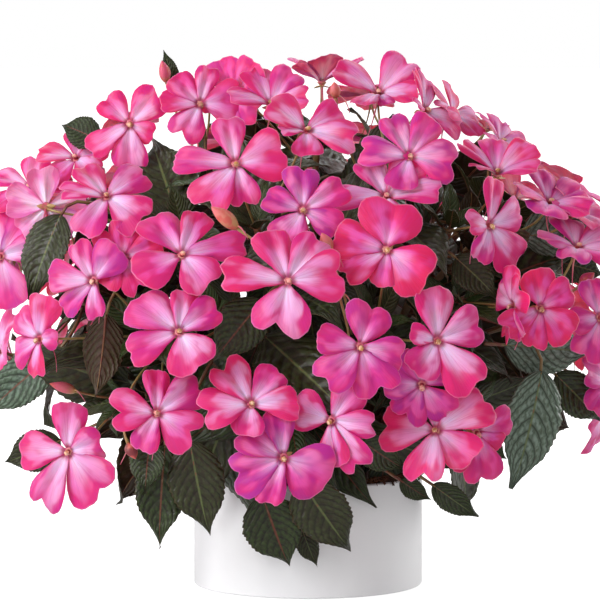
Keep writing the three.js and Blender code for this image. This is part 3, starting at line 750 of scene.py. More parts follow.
def petal_material(name, mid, margin, streak, back):
    material, g, out = new_material(
        name, Roughness=0.5, Subsurface_Weight=0.4, Subsurface_Scale=0.004, Sheen_Weight=0.05, IOR=1.4
    )
    along, across, seed = g.parts("surface")
    purple, pale, red = g.parts("tint")
    fibre, blotch = g.group(FIBRES, Along=along, Across=across, Seed=seed, Lines=15.0, Stretch=2.2)
    off = g.size(across)
    rim = g.plus(along, g.times(g.math("POWER", off, 2.0), 0.5))
    rim = g.plus(rim, g.times(g.math("SUBTRACT", blotch, 0.5), 0.5))
    colour = g.mix(g.ramp(rim, 0.3, 0.98), rgb(mid), rgb(margin))
    redness = g.times(red, g.ramp(rim, 0.45, 1.15))
    colour = g.mix(redness, colour, rgb("DA1258"))
    shade = g.times(purple, g.ramp(g.plus(blotch, g.times(off, 0.4)), 0.0, 1.3))
    colour = g.mix(g.times(shade, 0.85), colour, rgb("A62090"))
    side = g.times(across, g.math("SINE", g.times(seed, 47.0)))
    half = g.times(g.ramp(side, -0.1, 0.6), g.ramp(rim, 1.2, 0.5))
    colour = g.mix(g.times(half, pale, 0.75), colour, rgb("F0A8D4"))
    heart = g.times(g.ramp(pale, 0.5, 1.1, 0.0, 0.4), g.ramp(rim, 1.0, 0.5))
    colour = g.mix(heart, colour, rgb("F09AC8"))
    width = g.ramp(along, 0.0, 0.8, 1.0, 0.5)
    inside = g.ramp(g.math("DIVIDE", off, width), 1.1, 0.05)
    reach = g.plus(0.52, g.times(pale, 0.36))
    length = g.ramp(along, reach, 0.1)
    strength = g.plus(0.55, g.times(pale, 0.45))
    white = g.times(inside, length, strength, g.ramp(fibre, 0.0, 1.0, 0.78, 1.0))
    colour = g.mix(white, colour, rgb(streak))
    colour = g.mix(g.ramp(fibre, 0.5, 0.0, 0.0, 0.2), colour, rgb("C02A7C"))
    # Painted shade, partly the petal's own deeper magenta: the sides near the base, where neighbouring petals
    # overlap it, are darkened as if in their shadow.
    fold = g.times(g.ramp(off, 0.7, 1.0), g.ramp(along, 0.85, 0.35, 0.0, 0.65))
    colour = g.mix(fold, colour, rgb("B0145E"))
    if not back:
        colour = g.mix(g.ramp(along, 0.16, 0.05, 0.0, 0.8), colour, rgb("A83058"))
        colour = g.mix(g.ramp(along, 0.965, 1.0, 0.0, 0.28), colour, rgb("F4A6CC"))
    g.put(out["Base Color"], colour)
    g.put(out["Roughness"], g.ramp(fibre, 0.0, 1.0, 0.45, 0.6))
    g.put(out["Normal"], bump(g, fibre, 0.35, 0.25))
    return material


def heart_material():
    material, g, out = new_material(
        "Stamen cap", Roughness=0.45, Subsurface_Weight=0.15, Subsurface_Scale=0.002
    )
    along, _, seed = g.parts("surface")
    cap = g.mix(g.ramp(seed, 0.2, 0.8), rgb("B98444"), rgb("E58C8C"))
    patch = g.group(GRAIN, Scale=520.0)[0]
    cap = g.mix(g.ramp(patch, 0.42, 0.58, 0.0, 0.75), cap, rgb("E8C0A4"))
    cap = g.mix(g.ramp(g.group(GRAIN, Scale=330.0)[0], 0.52, 0.62, 0.0, 0.7), cap, rgb("8A5A2C"))
    g.put(out["Base Color"], g.mix(g.ramp(along, 0.5, 0.78), rgb("98303C"), cap))
    g.put(out["Normal"], bump(g, patch, 0.4, 0.2))
    return material


def skin_material(name, low, high, spot, rough):
    """The skin of a stem, stalk, sepal or bud: two colours along it and a blush."""
    material, g, out = new_material(name, Subsurface_Weight=0.08, Subsurface_Scale=0.002)
    along, across, seed = g.parts("surface")
    fibre, blotch = g.group(FIBRES, Along=along, Across=across, Seed=seed, Lines=10.0, Stretch=1.5)
    grain = g.group(GRAIN, Scale=140.0)[0]
    colour = g.mix(g.ramp(along, 0.0, 1.0), rgb(low), rgb(high))
    blush, _, dusk = g.parts("tint")
    colour = g.mix(g.times(blush, g.ramp(along, 0.0, 0.4)), colour, rgb("CF3F74"))
    colour = g.mix(dusk, colour, rgb("6E1F28"))
    spots = g.ramp(g.plus(grain, g.times(blotch, 0.2)), 0.5, 0.75)
    colour = g.mix(spots, colour, rgb(spot))
    g.put(out["Base Color"], colour)
    g.put(out["Roughness"], g.ramp(grain, 0.3, 0.7, rough - 0.08, rough + 0.08))
    g.put(out["Normal"], bump(g, fibre, 0.3, 0.2))
    return material


def leaf_material(name, dark, light, vein, rib, rough, under):
    material, g, out = new_material(name, Specular_IOR_Level=0.38)
    along, across, seed = g.parts("surface")
    young, warm, painted_sheen = g.parts("tint")
    lines, midrib, puff, mottle = g.group(LEAF_VEINS, Along=along, Across=across, Seed=seed)
    colour = g.mix(g.ramp(mottle, 0.35, 0.7), rgb(dark), rgb(light))
    colour = g.mix(g.times(young, 0.6), colour, rgb("3C5A22"))
    # Painted reflection: the lights' grey-green sheen is mixed into the base colour of the leaves with listed
    # shining tips.
    colour = g.mix(g.times(painted_sheen, 0.8), colour, rgb("56705E"))
    # Painted highlight: on those leaves the raised puffs between the veins are lightened further.
    painted_highlight = g.times(painted_sheen, puff, g.ramp(mottle, 0.3, 0.65))
    colour = g.mix(g.times(painted_highlight, 0.8), colour, rgb("9DB5A8"))
    # Painted light: the raised puffs between the veins, away from the midrib, are a lighter green, as if lit
    # on their tops.
    puff_highlight = g.times(puff, g.ramp(g.size(across), 0.0, 0.5))
    colour = g.mix(g.times(puff_highlight, 0.2), colour, rgb("4C5C30"))
    colour = g.mix(g.times(warm, 0.5), colour, rgb("3A2417"))
    colour = g.mix(g.times(lines, 0.6), colour, rgb(vein))
    ribs = g.mix(g.ramp(seed, 0.35, 0.65), rgb(rib), rgb("5E6A3C"))
    colour = g.mix(g.times(midrib, 0.8), colour, rgb(rib) if under else ribs)
    edge = g.ramp(g.size(across), 0.93, 1.0, 0.0, 0.4)
    colour = g.mix(edge, colour, rgb("5B3A2A"))
    g.put(out["Base Color"], colour)
    g.put(out["Roughness"], g.ramp(mottle, 0.3, 0.7, rough - 0.06, rough + 0.08))
    raised = g.times(puff, -0.8 if under else 0.8)
    height = g.plus(raised, g.times(mottle, 0.5))
    g.put(out["Normal"], bump(g, height, 0.8, 0.7))
    return material


def pot_material():
    material, g, out = new_material("White moulded pot", Coat_Weight=0.25, Coat_Roughness=0.12)
    cloud = g.group(GRAIN, Scale=18.0)[0]
    fine = g.group(GRAIN, Scale=1600.0, Detail=1.0)[0]
    g.put(out["Base Color"], g.mix(g.ramp(cloud, 0.3, 0.7), rgb("F1F1F3"), rgb("F6F6F7")))
    g.put(out["Roughness"], g.ramp(cloud, 0.3, 0.7, 0.28, 0.36))
    g.put(out["Normal"], bump(g, fine, 0.06, 0.1))
    return material


def soil_material(name, dark, light, speck):
    material, g, out = new_material(name)
    coarse = g.group(GRAIN, Scale=160.0, Detail=6.0)[0]
    fine = g.group(GRAIN, Scale=900.0, Detail=4.0)[0]
    colour = g.mix(g.ramp(coarse, 0.35, 0.7), rgb(dark), rgb(light))
    colour = g.mix(g.ramp(fine, 0.62, 0.7, 0.0, 0.6), colour, rgb(speck))
    g.put(out["Base Color"], colour)
    g.put(out["Roughness"], g.ramp(fine, 0.3, 0.7, 0.85, 0.98))
    g.put(out["Normal"], bump(g, g.plus(coarse, g.times(fine, 0.6)), 0.9, 1.5))
    return material


PETAL = petal_material("Petal", "E64EA4", "DE1474", "F0C8E8", False)
# The underside's own paler pink, made lighter still as painted light, because little lamp light reaches the
# downward-facing undersides.
PETAL_BACK = petal_material("Petal underside", "F8A6D6", "F57CBE", "FCE2F4", True)
HEART = heart_material()
SEPAL = skin_material("Sepal and spur", "B8A05A", "D96A86", "C4506C", 0.45)
BUD = skin_material("Bud", "B9935C", "DE6A72", "C9584F", 0.42)
STALK = skin_material("Flower stalk", "7C6B3C", "A99358", "94603F", 0.45)
STEM = skin_material("Stem", "6E4630", "7A6238", "6B2F24", 0.4)
LEAF = leaf_material("Leaf", "1A190B", "2D3E18", "120F07", "6B3424", 0.4, False)
LEAF_BACK = leaf_material("Leaf underside", "34180F", "42321E", "4A2E24", "74392E", 0.55, True)
POT = pot_material()
SOIL = soil_material("Potting soil", "0F0A07", "2A1C12", "4A3420")
FIBRE = soil_material("Coir fibre", "3A1E12", "6E4026", "8A6040")


# Flowers

PETALS = 5
THROAT_HALF = 39
PETAL_THICK = 0.42
PETAL_THINS = 0.22
LEAF_THICK = 0.5


def petal_points(flower, i, rows, columns):
    """The upper points of a petal and where each lies on it. Rows run from the heart to
    the edge and columns from the right side to the left."""
    key = flower.key
    wob = [wobble(key, i, n) for n in range(18)]
    turn, reach, half, notch_depth = [row[i] for row in flower.petals]
    length = flower.across / 2 * reach / 100
    cup = flower.cup + 0.09 * wob[2]
    twist = math.tan(math.radians(11 + 3 * wob[3])) * 30 / max(30, half)
    fan = math.radians(half + 4)
    throat = math.radians(THROAT_HALF)
    u = np.sin(np.linspace(0, 1, rows - 1) * 1.48) / math.sin(1.48) * 0.975
    u = np.append(u, 1.0)[:, None]
    v = np.linspace(-1, 1, columns - 2)
    v = np.concatenate([[-1], [-0.965], v[1:-1], [0.965], [1]])[None, :]
    off = np.abs(v)
    notch = (notch_depth / 100 + 0.02 + 0.02 * wob[5]) * np.exp(-((np.abs(v - 0.1 * wob[6]) / 0.22) ** 1.4))
    edge = (0.5 + 0.54 * np.maximum(0, 1 - off**4) ** 0.6) * (1 - notch) * (1 + 0.07 * wob[7] * v)
    edge = edge * (1 + 0.016 * np.sin(8 * v + 5 * wob[8]) + 0.01 * np.sin(19 * v + 7 * wob[9]))
    r = 1.5 + (edge * length - 1.5) * u
    angle = v * (throat + (fan - throat) * smooth(u, 0.1, 0.62))
    x = r * np.cos(angle)
    y = r * np.sin(angle)
    share = r / length
    # The rise from the heart, then the channel, the two puffed halves, the sides and the
    # tip that turn down, two waves of the rim, and the dip of the throat
    z = cup * x - min(cup, CUP) * 0.75 * x * x / length + twist * y
    arch = np.sin(math.pi * np.clip(share, 0, 1))
    z -= (0.05 + 0.02 * wob[14]) * length * np.exp(-((y / (0.1 * length)) ** 2)) * arch
    z += (0.045 + 0.025 * wob[15] * np.sign(v)) * length * np.sin(math.pi * off) * arch
    z -= (0.07 + 0.04 * wob[10]) * length * off**3 * share**2
    z -= (0.06 + 0.06 * wob[11]) * length * share**5
    z += 0.036 * length * share**2.5 * np.sin((5.5 + 1.5 * wob[12]) * v + 6 * wob[13])
    z += 0.007 * length * share**1.5 * np.sin(21 * v + 6 * wob[16]) * (1 - 0.5 * off)
    z -= 1.8 * np.exp(-((r / 3.0) ** 2))
    a = math.radians(turn)
    out = flower.upright * math.cos(a) + flower.right * math.sin(a)
    left = np.cross(flower.normal, out)
    points = flower.place + x[..., None] * out + y[..., None] * left + z[..., None] * flower.normal
    seed = (key * 7 + i * 3) % 97 / 97
    where = np.stack([u + 0 * v, v + 0 * u, np.full(x.shape, seed)], -1)
    return points, where


def petal_tone(flower, i):
    """The flower's tone with this petal's own share."""
    own = [0.22 * wobble(flower.key, i, n + 20) for n in range(3)]
    return np.clip(np.array(flower.tone) + own, 0, 1)


def add_petals(piece, flower, rows, columns, cloud):
    for i in range(PETALS):
        upper, where = petal_points(flower, i, rows, columns)
        thick = PETAL_THICK - PETAL_THINS * where[..., :1]
        points, faces, marks = sheet(upper, flower.normal * thick, where)
        piece.add(points, faces, [0, 1, 0], marks, petal_tone(flower, i))
        cloud.extend(upper[::3, ::3].reshape(-1, 3))


HEART_PROFILE = [
    (0, -2.6), (1.2, -2.5), (1.6, -1.4), (1.4, 0.0), (1.1, 0.8), (1.2, 1.5),
    (1.6, 2.2), (1.65, 2.9), (1.3, 3.5), (0.7, 3.8), (0, 3.9),
]


def turned_out(profile, sides, place, axis, lean=None, bow=0.0):
    """A lathed form that stands at a place along an axis, its top bowed to one side."""
    points, faces = lathe(profile, sides)
    first = unit(np.cross(axis, vec(0.31, 0.77, 0.55)))
    second = np.cross(axis, first)
    height = points[:, 2]
    low, high = height.min(), height.max()
    share = (height - low) / (high - low)
    moved = place + np.outer(points[:, 0], first) + np.outer(points[:, 1], second) + np.outer(height, axis)
    if lean is not None:
        moved = moved + np.outer(bow * share**2, lean)
    around = np.arctan2(points[:, 1], points[:, 0]) / math.pi
    return moved, faces, np.stack([share, around, np.zeros(len(share))], -1)


def add_heart(piece, flower):
    """The knob of stamens in the throat, and the calyx behind the petals."""
    points, faces, marks = turned_out(HEART_PROFILE, 12, flower.place, flower.normal, -flower.top, 1.6)
    lobes = 1 + 0.1 * np.cos(marks[:, 1] * math.pi * 5) * smooth(marks[:, 0], 0.4, 0.8)
    spine = flower.place + np.outer((points - flower.place) @ flower.normal, flower.normal)
    marks = marks * (1, 1, 0) + (0, 0, (flower.key * 0.37) % 1)
    piece.add(spine + (points - spine) * lobes[:, None], faces, 0, marks)
    cup = [(0, -4.4), (0.9, -4.3), (1.5, -3.2), (2.5, -2.0), (3.2, -1.2), (2.4, -0.7), (0, -0.6)]
    points, faces, marks = turned_out(cup, 10, flower.place, flower.normal)
    piece.add(points, faces, 1, marks * (0.6, 1, 1))


def small_blade(root, heading, facing, length, width, lift, rows=7):
    """A small pointed blade, as a sepal or bract: points and faces."""
    side = unit(np.cross(heading, facing))
    up = np.cross(side, heading)
    t = np.linspace(0, 1, rows)[:, None]
    v = np.linspace(1, -1, 5)[None, :]
    half = width / 2 * np.sin(math.pi * (0.08 + 0.92 * t) ** 0.8) + 0.05
    bend = lift * length * t**2 + 0.25 * half * v**2
    upper = root + (t * length + 0 * v)[..., None] * heading + (half * v)[..., None] * side
    upper = upper + bend[..., None] * up
    return sheet(upper, 0.3 * up, np.stack([t + 0 * v, v + 0 * t, 0 * t * v], -1))


def add_sepals(piece, flower):
    """Two small sepals behind the flower and the curved spur that holds its nectar."""
    base = flower.place - flower.normal * 3.4
    for sign in (-1, 1):
        heading = unit(flower.side * sign - flower.normal * 0.3 + flower.top * 0.2)
        piece.add(*small_blade(base, heading, flower.normal, 6.5, 3.6, 0.1)[:2], 0, (0.2, 0, 0))
    sway = wobble(flower.key, 0, 31)
    down = unit(-UPRIGHT * 0.8 - flower.top * 0.35 + flower.side * 0.6 * sway)
    start = flower.place - flower.normal * 2.6
    bend = start - flower.normal * 13 + down * 3
    end = start - flower.normal * (12 + 4 * sway) + down * (22 + 6 * sway)
    path = bent(start, bend, end, 10)
    share = np.linspace(0, 1, 11)
    points, faces = tube(path, 0.22 + 0.75 * (1 - share) ** 2, 6)
    along = np.append(np.repeat(0.45 + 0.55 * share, 6), [0.45, 1.0])
    piece.add(points, faces, 0, np.stack([along, 0 * along, 0 * along], -1))


def add_rod(piece, path, radii, sides, kind=0, seed=0.0):
    """A tube whose marks say how far along it a point lies."""
    points, faces = tube(path, radii, sides)
    share = np.append(np.repeat(np.linspace(0, 1, len(path)), sides), [0, 1])
    turn = np.append(np.tile(np.arange(sides) / sides, len(path)), [0, 0])
    piece.add(points, faces, kind, np.stack([share, turn, np.full(len(share), seed)], -1))


def stalk_path(start, end, heading, steps=12):
    return bent(start, end - heading * 0.4 * np.linalg.norm(end - start), end, steps)


def stalk_radii(steps, foot=1.0, neck=0.75, cap=1.25):
    """A stalk's radii: thickened at its foot and just behind the flower."""
    t = np.linspace(0, 1, steps + 1)
    return neck + (foot - neck) * np.exp(-t / 0.08) + (cap - neck) * np.exp(-(1 - t) / 0.05)


def add_stalk(piece, path, seed, sides=8):
    add_rod(piece, path, stalk_radii(len(path) - 1), sides, seed=seed)


# Rows and columns of points on a petal of the front and of the sides and back
FINE = (13, 21)
PLAIN = (10, 17)
petal_cloud = []


def build_blooms(node, flowers, grid):
    """The petals and hearts of one node's flowers."""
    petals = Piece(f"{node}_petals", PETAL, PETAL_BACK)
    hearts = Piece(f"{node}_hearts", HEART, SEPAL)
    for flower in flowers:
        add_petals(petals, flower, *grid, petal_cloud)
        add_heart(hearts, flower)
    petals.finish("petals", node)
    hearts.finish("petals")


def build_flowers():
    """The flowers of the front. Their stalks belong to the shoots."""
    for r, row in enumerate(front_flowers):
        node = f"bloom_{r + 1:02d}"
        build_blooms(node, row, FINE)
        sepals = Piece(f"{node}_sepals", SEPAL)
        for flower in row:
            add_sepals(sepals, flower)
        sepals.finish("petals")


def front_stalks():
    """The paths of the front flowers' stalks by shoot, in the order that they are given
    their stations: first flowers, then buds; sprays follow, then the second flowers."""
    paths = [[] for _ in shoots]
    for row in front_flowers:
        end = row[0].back(CLEARANCE)
        station = take(end, row[0].normal)
        paths[station.shoot].append(stalk_path(station.place, end, row[0].normal))
    return paths


def bud_plans():
    made = []
    for x, h, tip_x, tip_h, depth, radius in BUDS:
        foot = seen_at(x, h, depth)
        tip = seen_at(tip_x, tip_h, depth + 4)
        heading = unit(tip - foot)
        station = take(foot + heading * 2, heading)
        made.append((foot, tip, heading, radius, station))
    return made


def spray_plans():
    made = []
    for flowers in spray_flowers:
        middle = sum(f.back() for f in flowers) / len(flowers)
        station = take(middle, dome_normal(middle))
        made.append((flowers, station.place, station.place + (middle - station.place) * SPRAY_FORK))
    return made


def build_sprays():
    """The flowers of the sides and back, with the stalks that they share."""
    for r, (flowers, foot, fork) in enumerate(sprays):
        node = f"bloom_spray_{r + 1:02d}"
        build_blooms(node, flowers, PLAIN)
        stalks = Piece(f"{node}_stalks", STALK, SEPAL)
        for i, flower in enumerate(flowers):
            path = stalk_path(fork, flower.back(CLEARANCE), flower.normal)
            add_stalk(stalks, path, i * 0.3, 7)
            add_sepals(stalks, flower)
        add_rod(stalks, bent(foot, (foot + fork) / 2, fork, 5), 1.1, 7)
        stalks.finish("foliage")


# How pink and how dark each bud is
BUD_TONES = [
    (0.8, 0, 0), (0.3, 0, 0.1), (0, 0, 0), (0.2, 0, 0.1),
    (0.6, 0, 0.3), (0.6, 0, 0), (1, 0, 0.2), (0.3, 0, 0.9),
]


def add_bud(piece, foot, tip, radius, key):
    """A closed bud: three overlapping lobes drawn out to a soft point, two small sepals
    at its foot and a thin curled spur."""
    axis = unit(tip - foot)
    length = np.linalg.norm(tip - foot)
    t = np.linspace(0, 1, 14)
    swell = radius * 1.02 * np.sin(math.pi * np.clip(0.06 + 0.94 * t, 0, 1) ** 0.85) ** 0.8
    profile = [(0, 0), *[(max(0.12, s), length * a) for s, a in zip(swell, t)], (0, length * 1.02)]
    points, faces, marks = turned_out(profile, 18, foot, axis)
    turn = marks[:, 1] * math.pi
    ridge = 1 + 0.09 * np.cos(3 * turn + 2.2 * marks[:, 0]) * np.sin(math.pi * marks[:, 0])
    spine = foot + np.outer((points - foot) @ axis, axis)
    skin = marks * (1, 1.5, 0) + (0, 0, key * 0.13)
    piece.add(spine + (points - spine) * ridge[:, None], faces, 0, skin, BUD_TONES[key])
    first = unit(np.cross(axis, vec(0.2, 0.5, 0.9)))
    for sign in (-1, 1):
        heading = unit(axis * 0.85 + first * 0.55 * sign)
        piece.add(*small_blade(foot, heading, first * sign, 5.5, 3.0, -0.2)[:2], 1, (0.1, 0, 0))
    start = foot + axis * 1.5
    down = unit(-UPRIGHT - axis * 0.6)
    path = bent(start, start - first * 7, start - first * 9 + down * 11, 8)
    add_rod(piece, path, 0.2 + 0.5 * (1 - np.linspace(0, 1, 9)), 6, kind=1)


# Leaves

def merged(node):
    """The points of a CAD node in millimetres, each once, and its edges."""
    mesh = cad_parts[node].data
    raw = np.array([v.co for v in mesh.vertices]) / MM
    _, first, index = np.unique(np.round(raw, 2), axis=0, return_index=True, return_inverse=True)
    edges = index.reshape(-1)[np.array([e.vertices for e in mesh.edges])]
    return raw[first], np.unique(np.sort(edges, axis=1), axis=0)


def meeting(p, d, q, e):
    """The point midway between two lines where they come closest, and their distance."""
    w = p - q
    b = d @ e
    gap = 1 - b * b
    s = (b * (e @ w) - d @ w) / gap
    t = ((e @ w) - b * (d @ w)) / gap
    a, c = p + s * d, q + t * e
    return (a + c) / 2, np.linalg.norm(a - c)


# Tips, at x and h in the picture, of the leaves whose colour gets a painted grey-green sheen (the lights'
# reflection painted in), and how much
SHINING = [(187, 232, 0.7), (184, 150, 0.85), (133, 60, 0.85), (60, 203, 0.4), (-210, 109, 0.35)]


# How closely edges have to agree to belong to one blade, how far a tip may lie from its
# place in the picture, and how long petioles are
SAME_LENGTH = 0.0003
SAME_WAY = 0.004
CUT_WAY = 0.03
SAME_TIP = 3
PETIOLE_LENGTHS = (8, 90)
PETIOLE_USUAL = 15


# How much painted grey-green sheen a leaf's colour gets, found by its tip.
def sheen_at(tip):
    for x, h, share in SHINING:
        if np.linalg.norm(tip - seen_at(x, h, -tip[1])) < SAME_TIP:
            return share
    return 0.0


class Leaf:
    """A leaf blade: where it starts and ends, its axes, its half width and its wave."""

    def __init__(self, foot, tip, up, half, flutter, root, young=0.0):
        self.foot = foot
        self.tip = tip
        self.along = unit(tip - foot)
        self.length = np.linalg.norm(tip - foot)
        self.up = unit(up - self.along * (up @ self.along))
        self.side = np.cross(self.along, self.up)
        self.half = half
        self.flutter = flutter
        self.root = root
        self.young = young
        self.seed = abs(math.sin(foot @ vec(1.3, 2.7, 0.9))) % 1
        # How much painted sheen the leaf's colour gets
        self.sheen = sheen_at(tip)


def leaves_of(node):
    """Reads the leaves of a shoot. A blade's upper and lower outlines are a fixed
    thickness apart, all in the leaf's own up direction, which tells them from every
    other edge. A whole blade has seven such edges."""
    points, edges = merged(node)
    way = points[edges[:, 1]] - points[edges[:, 0]]
    length = np.linalg.norm(way, axis=1)
    thin = np.abs(length - BLADE_THICK) < SAME_LENGTH
    pairs, ways = edges[thin], way[thin] / length[thin][:, None]
    near = {}
    for a, b in edges:
        near.setdefault(a, []).append(b)
        near.setdefault(b, []).append(a)
    left = set(range(len(pairs)))
    found = []
    while left:
        first = left.pop()
        same = [i for i in left if np.linalg.norm(np.cross(ways[i], ways[first])) < SAME_WAY]
        left -= set(same)
        own = pairs[[first, *same]]
        if len(own) == 6:
            own = np.vstack([own, cut_edges(points, edges, own, ways[first])])
        if len(own) == 7:
            found.append(read_leaf(points, own, ways[first], near))
    return found


def cut_edges(points, edges, own, up):
    """Edges across a blade that its petiole has shortened, beside the blade's own."""
    way = points[edges[:, 1]] - points[edges[:, 0]]
    length = np.linalg.norm(way, axis=1)
    short = (length > BLADE_THICK / 3) & (length < BLADE_THICK * 0.99)
    aligned = np.linalg.norm(np.cross(way, up), axis=1) < CUT_WAY * length
    gap = points[edges].mean(1)[:, None] - points[own].mean(1)[None]
    beside = np.linalg.norm(gap, axis=-1).min(1) < NECK_WIDTH + CLEARANCE
    return edges[short & aligned & beside]


def read_leaf(points, pairs, up, near):
    middles = points[pairs].mean(1)
    apart = np.linalg.norm(middles[:, None] - middles[None], axis=-1) + 1e3 * np.eye(len(pairs))
    neck = np.unravel_index(apart.argmin(), apart.shape)
    foot = middles[list(neck)].mean(0)
    rest = [i for i in range(len(pairs)) if i not in neck]
    rest.sort(key=lambda i: np.linalg.norm(middles[i] - foot))
    tip = middles[rest[-1]]
    along = unit(tip - foot)
    wide = sorted(rest[:4], key=lambda i: (middles[i] - foot) @ along)[:2]
    middle = middles[wide].mean(0)
    if (middle - foot) @ up < 0:
        up = -up
    side = np.cross(along, unit(up - along * (up @ along)))
    right, left = sorted(wide, key=lambda i: -(middles[i] - foot) @ side)
    half = (middles[right] - middles[left]) @ side / 2
    flutter = (middles[right] - middles[left]) @ up / 2
    lines = []
    for i in neck:
        top = max(pairs[i], key=lambda j: points[j] @ up)
        ways = [unit(points[j] - points[top]) for j in near[top]]
        lines.append([(points[top], w) for w in ways if w @ along < 0.3 and abs(w @ up) < 0.95])
    best = (foot - along * PETIOLE_USUAL, 1e3)
    for p, d in lines[0]:
        for q, e in lines[1]:
            if abs(d @ e) > 0.999999:
                continue
            place, gap = meeting(p, d, q, e)
            shortest, longest = PETIOLE_LENGTHS
            if gap < best[1] and shortest < np.linalg.norm(place - foot) < longest:
                best = (place, gap)
    return Leaf(foot, tip, up, half, flutter, best[0])


SERRATION = 17

# Rows and columns of points on a leaf of the solids, a young leaf and an inside leaf
LEAF_GRID = (52, 9)
YOUNG_GRID = (17, 7)
FILL_GRID = (23, 7)


def blade_points(leaf, t, v):
    """Points of a blade at shares t along it and v across it, from 1 on its right."""
    shape = np.sin(math.pi * t**0.74) ** 0.85 * (1 - 0.62 * smooth(t, 0.6, 1.0))
    teeth = (t * SERRATION) % 1.0
    half = leaf.half * shape * (1 + 0.085 * (teeth - 0.3) * smooth(t, 0.06, 0.2))
    half = half + 0.5 * (1 - t) + 0.12
    s = half * v
    arch = 0.2 * leaf.length * t * (1 - t)
    across = np.abs(v)
    fold = 0.22 * half * (across**1.3 - 0.25 * across**4)
    roll = np.sin(math.pi * np.clip((t - 0.02) / 0.7, 0, 1.4))
    wave = leaf.flutter * v * across * roll
    ripple = 0.012 * leaf.length * across**2 * np.sin(leaf.seed * 9 + t * 17 + np.sign(v) * 1.4)
    phase = (t - VEIN_SWEEP * across**VEIN_BEND) * VEINS + 0.5 * (v > 0)
    swell = np.abs(np.sin(math.pi * phase)) ** 0.6 * np.sin(math.pi * np.clip(across, 0.03, 0.97)) ** 0.6
    puff = 0.019 * leaf.length * swell * smooth(1 - t, 0, 0.2)
    rib = -0.45 * np.exp(-((v / 0.07) ** 2)) * (1 - t)
    hook = -0.05 * leaf.length * smooth(t, 0.75, 1.0) ** 2
    lift = arch + fold + wave + ripple + puff + rib + hook
    reach = (leaf.length * t)[..., None]
    return leaf.foot + reach * leaf.along + s[..., None] * leaf.side + lift[..., None] * leaf.up


def add_leaf(piece, leaf, rows, columns, cloud):
    t = np.linspace(0, 1, rows)[:, None] + np.zeros((1, columns))
    half = (columns - 1) // 2
    v = 1 - (np.arange(columns) / half)
    v = np.sign(v) * np.abs(v) ** 0.8
    v = v[None, :] + np.zeros((rows, 1))
    upper = blade_points(leaf, t, v)
    where = np.stack([t, v, np.full(t.shape, leaf.seed)], -1)
    points, faces, marks = sheet(upper, leaf.up * LEAF_THICK, where)
    # The leaf's marks: how young it is, how warm, and how much painted grey-green sheen its colour gets.
    tint = (leaf.young, 0.5 * (leaf.seed > 0.66), leaf.sheen)
    piece.add(points, faces, [0, 1, 0], marks, tint)
    cloud.extend(upper[:: max(1, rows // 9), ::2].reshape(-1, 3))


def petiole_path(leaf):
    gap = np.linalg.norm(leaf.foot - leaf.root)
    end = leaf.foot + leaf.along * 2 - leaf.up * 0.4
    return bent(leaf.root, leaf.foot - leaf.along * 0.4 * gap, end, 6)


def midrib_path(leaf, steps=7):
    t = np.linspace(0.0, 0.86, steps + 1)
    return blade_points(leaf, t, np.zeros(steps + 1)) - leaf.up * 0.55


def add_petiole(piece, leaf, radius=1.15):
    path = petiole_path(leaf)
    add_rod(piece, path, np.linspace(radius * 1.15, radius * 0.85, len(path)), 6, seed=leaf.seed)
    rib = midrib_path(leaf)
    add_rod(piece, rib, np.linspace(radius * 0.8, 0.25, len(rib)), 5, seed=leaf.seed)


STEM_STEP = 4
YOUNG_PER_TIP = 5
YOUNG_LONGEST = 36
YOUNG_SHORTEST = 18
FILL_LONGEST = 58
FILL_SHORTEST = 34
YOUNG_TRIES = 14
FILL_TRIES = 26
YOUNG_ROOM = 3.2
FILL_ROOM = 4.5
WHORL_TURN = 137.5


def clear_of(tree, leaf, room):
    """True if a blade keeps a room to every point of a tree of points."""
    t, v = np.meshgrid(np.linspace(0.15, 1, 6), [-0.8, 0, 0.8], indexing="ij")
    return all(tree.find(p)[2] > room for p in blade_points(leaf, t, v).reshape(-1, 3))


def tree_of(points):
    tree = KDTree(len(points))
    for i, p in enumerate(points):
        tree.insert(Vector(p), i)
    tree.balance()
    return tree


def inside_dome(p, share):
    return np.linalg.norm((p - vec(0, 0, DOME_CENTRE)) / DOME) < share


def young_leaves(line, dice, trees):
    """The small leaves round a shoot's tip."""
    heading = unit(line[-1] - line[-2])
    first = unit(np.cross(heading, vec(0.2, 0.3, 0.93)))
    made = []
    for i in range(YOUNG_PER_TIP):
        size = YOUNG_SHORTEST + (YOUNG_LONGEST - YOUNG_SHORTEST) * (1 - i / YOUNG_PER_TIP)
        for _ in range(YOUNG_TRIES):
            turn = i * WHORL_TURN + dice.uniform(-25, 25)
            lean = math.radians(22 + 44 * size / YOUNG_LONGEST + dice.uniform(-14, 14))
            out = turned(first, heading, turn)
            way = unit(heading * math.cos(lean) + out * math.sin(lean) + UPRIGHT * 0.1)
            root = line[-1] - heading * (1 + 3.0 * (YOUNG_PER_TIP - i) / YOUNG_PER_TIP)
            foot = root + way * size * 0.16
            facing = unit(heading * 1.1 - out * 0.5 + UPRIGHT * 0.4)
            half = size * dice.uniform(0.19, 0.24)
            leaf = Leaf(foot, foot + way * size, facing, half, dice.uniform(-1, 1), root, 0.5 + 0.1 * i)
            if inside_dome(leaf.tip, 0.98) and all(clear_of(t, leaf, YOUNG_ROOM) for t in trees):
                made.append(leaf)
                break
    return made


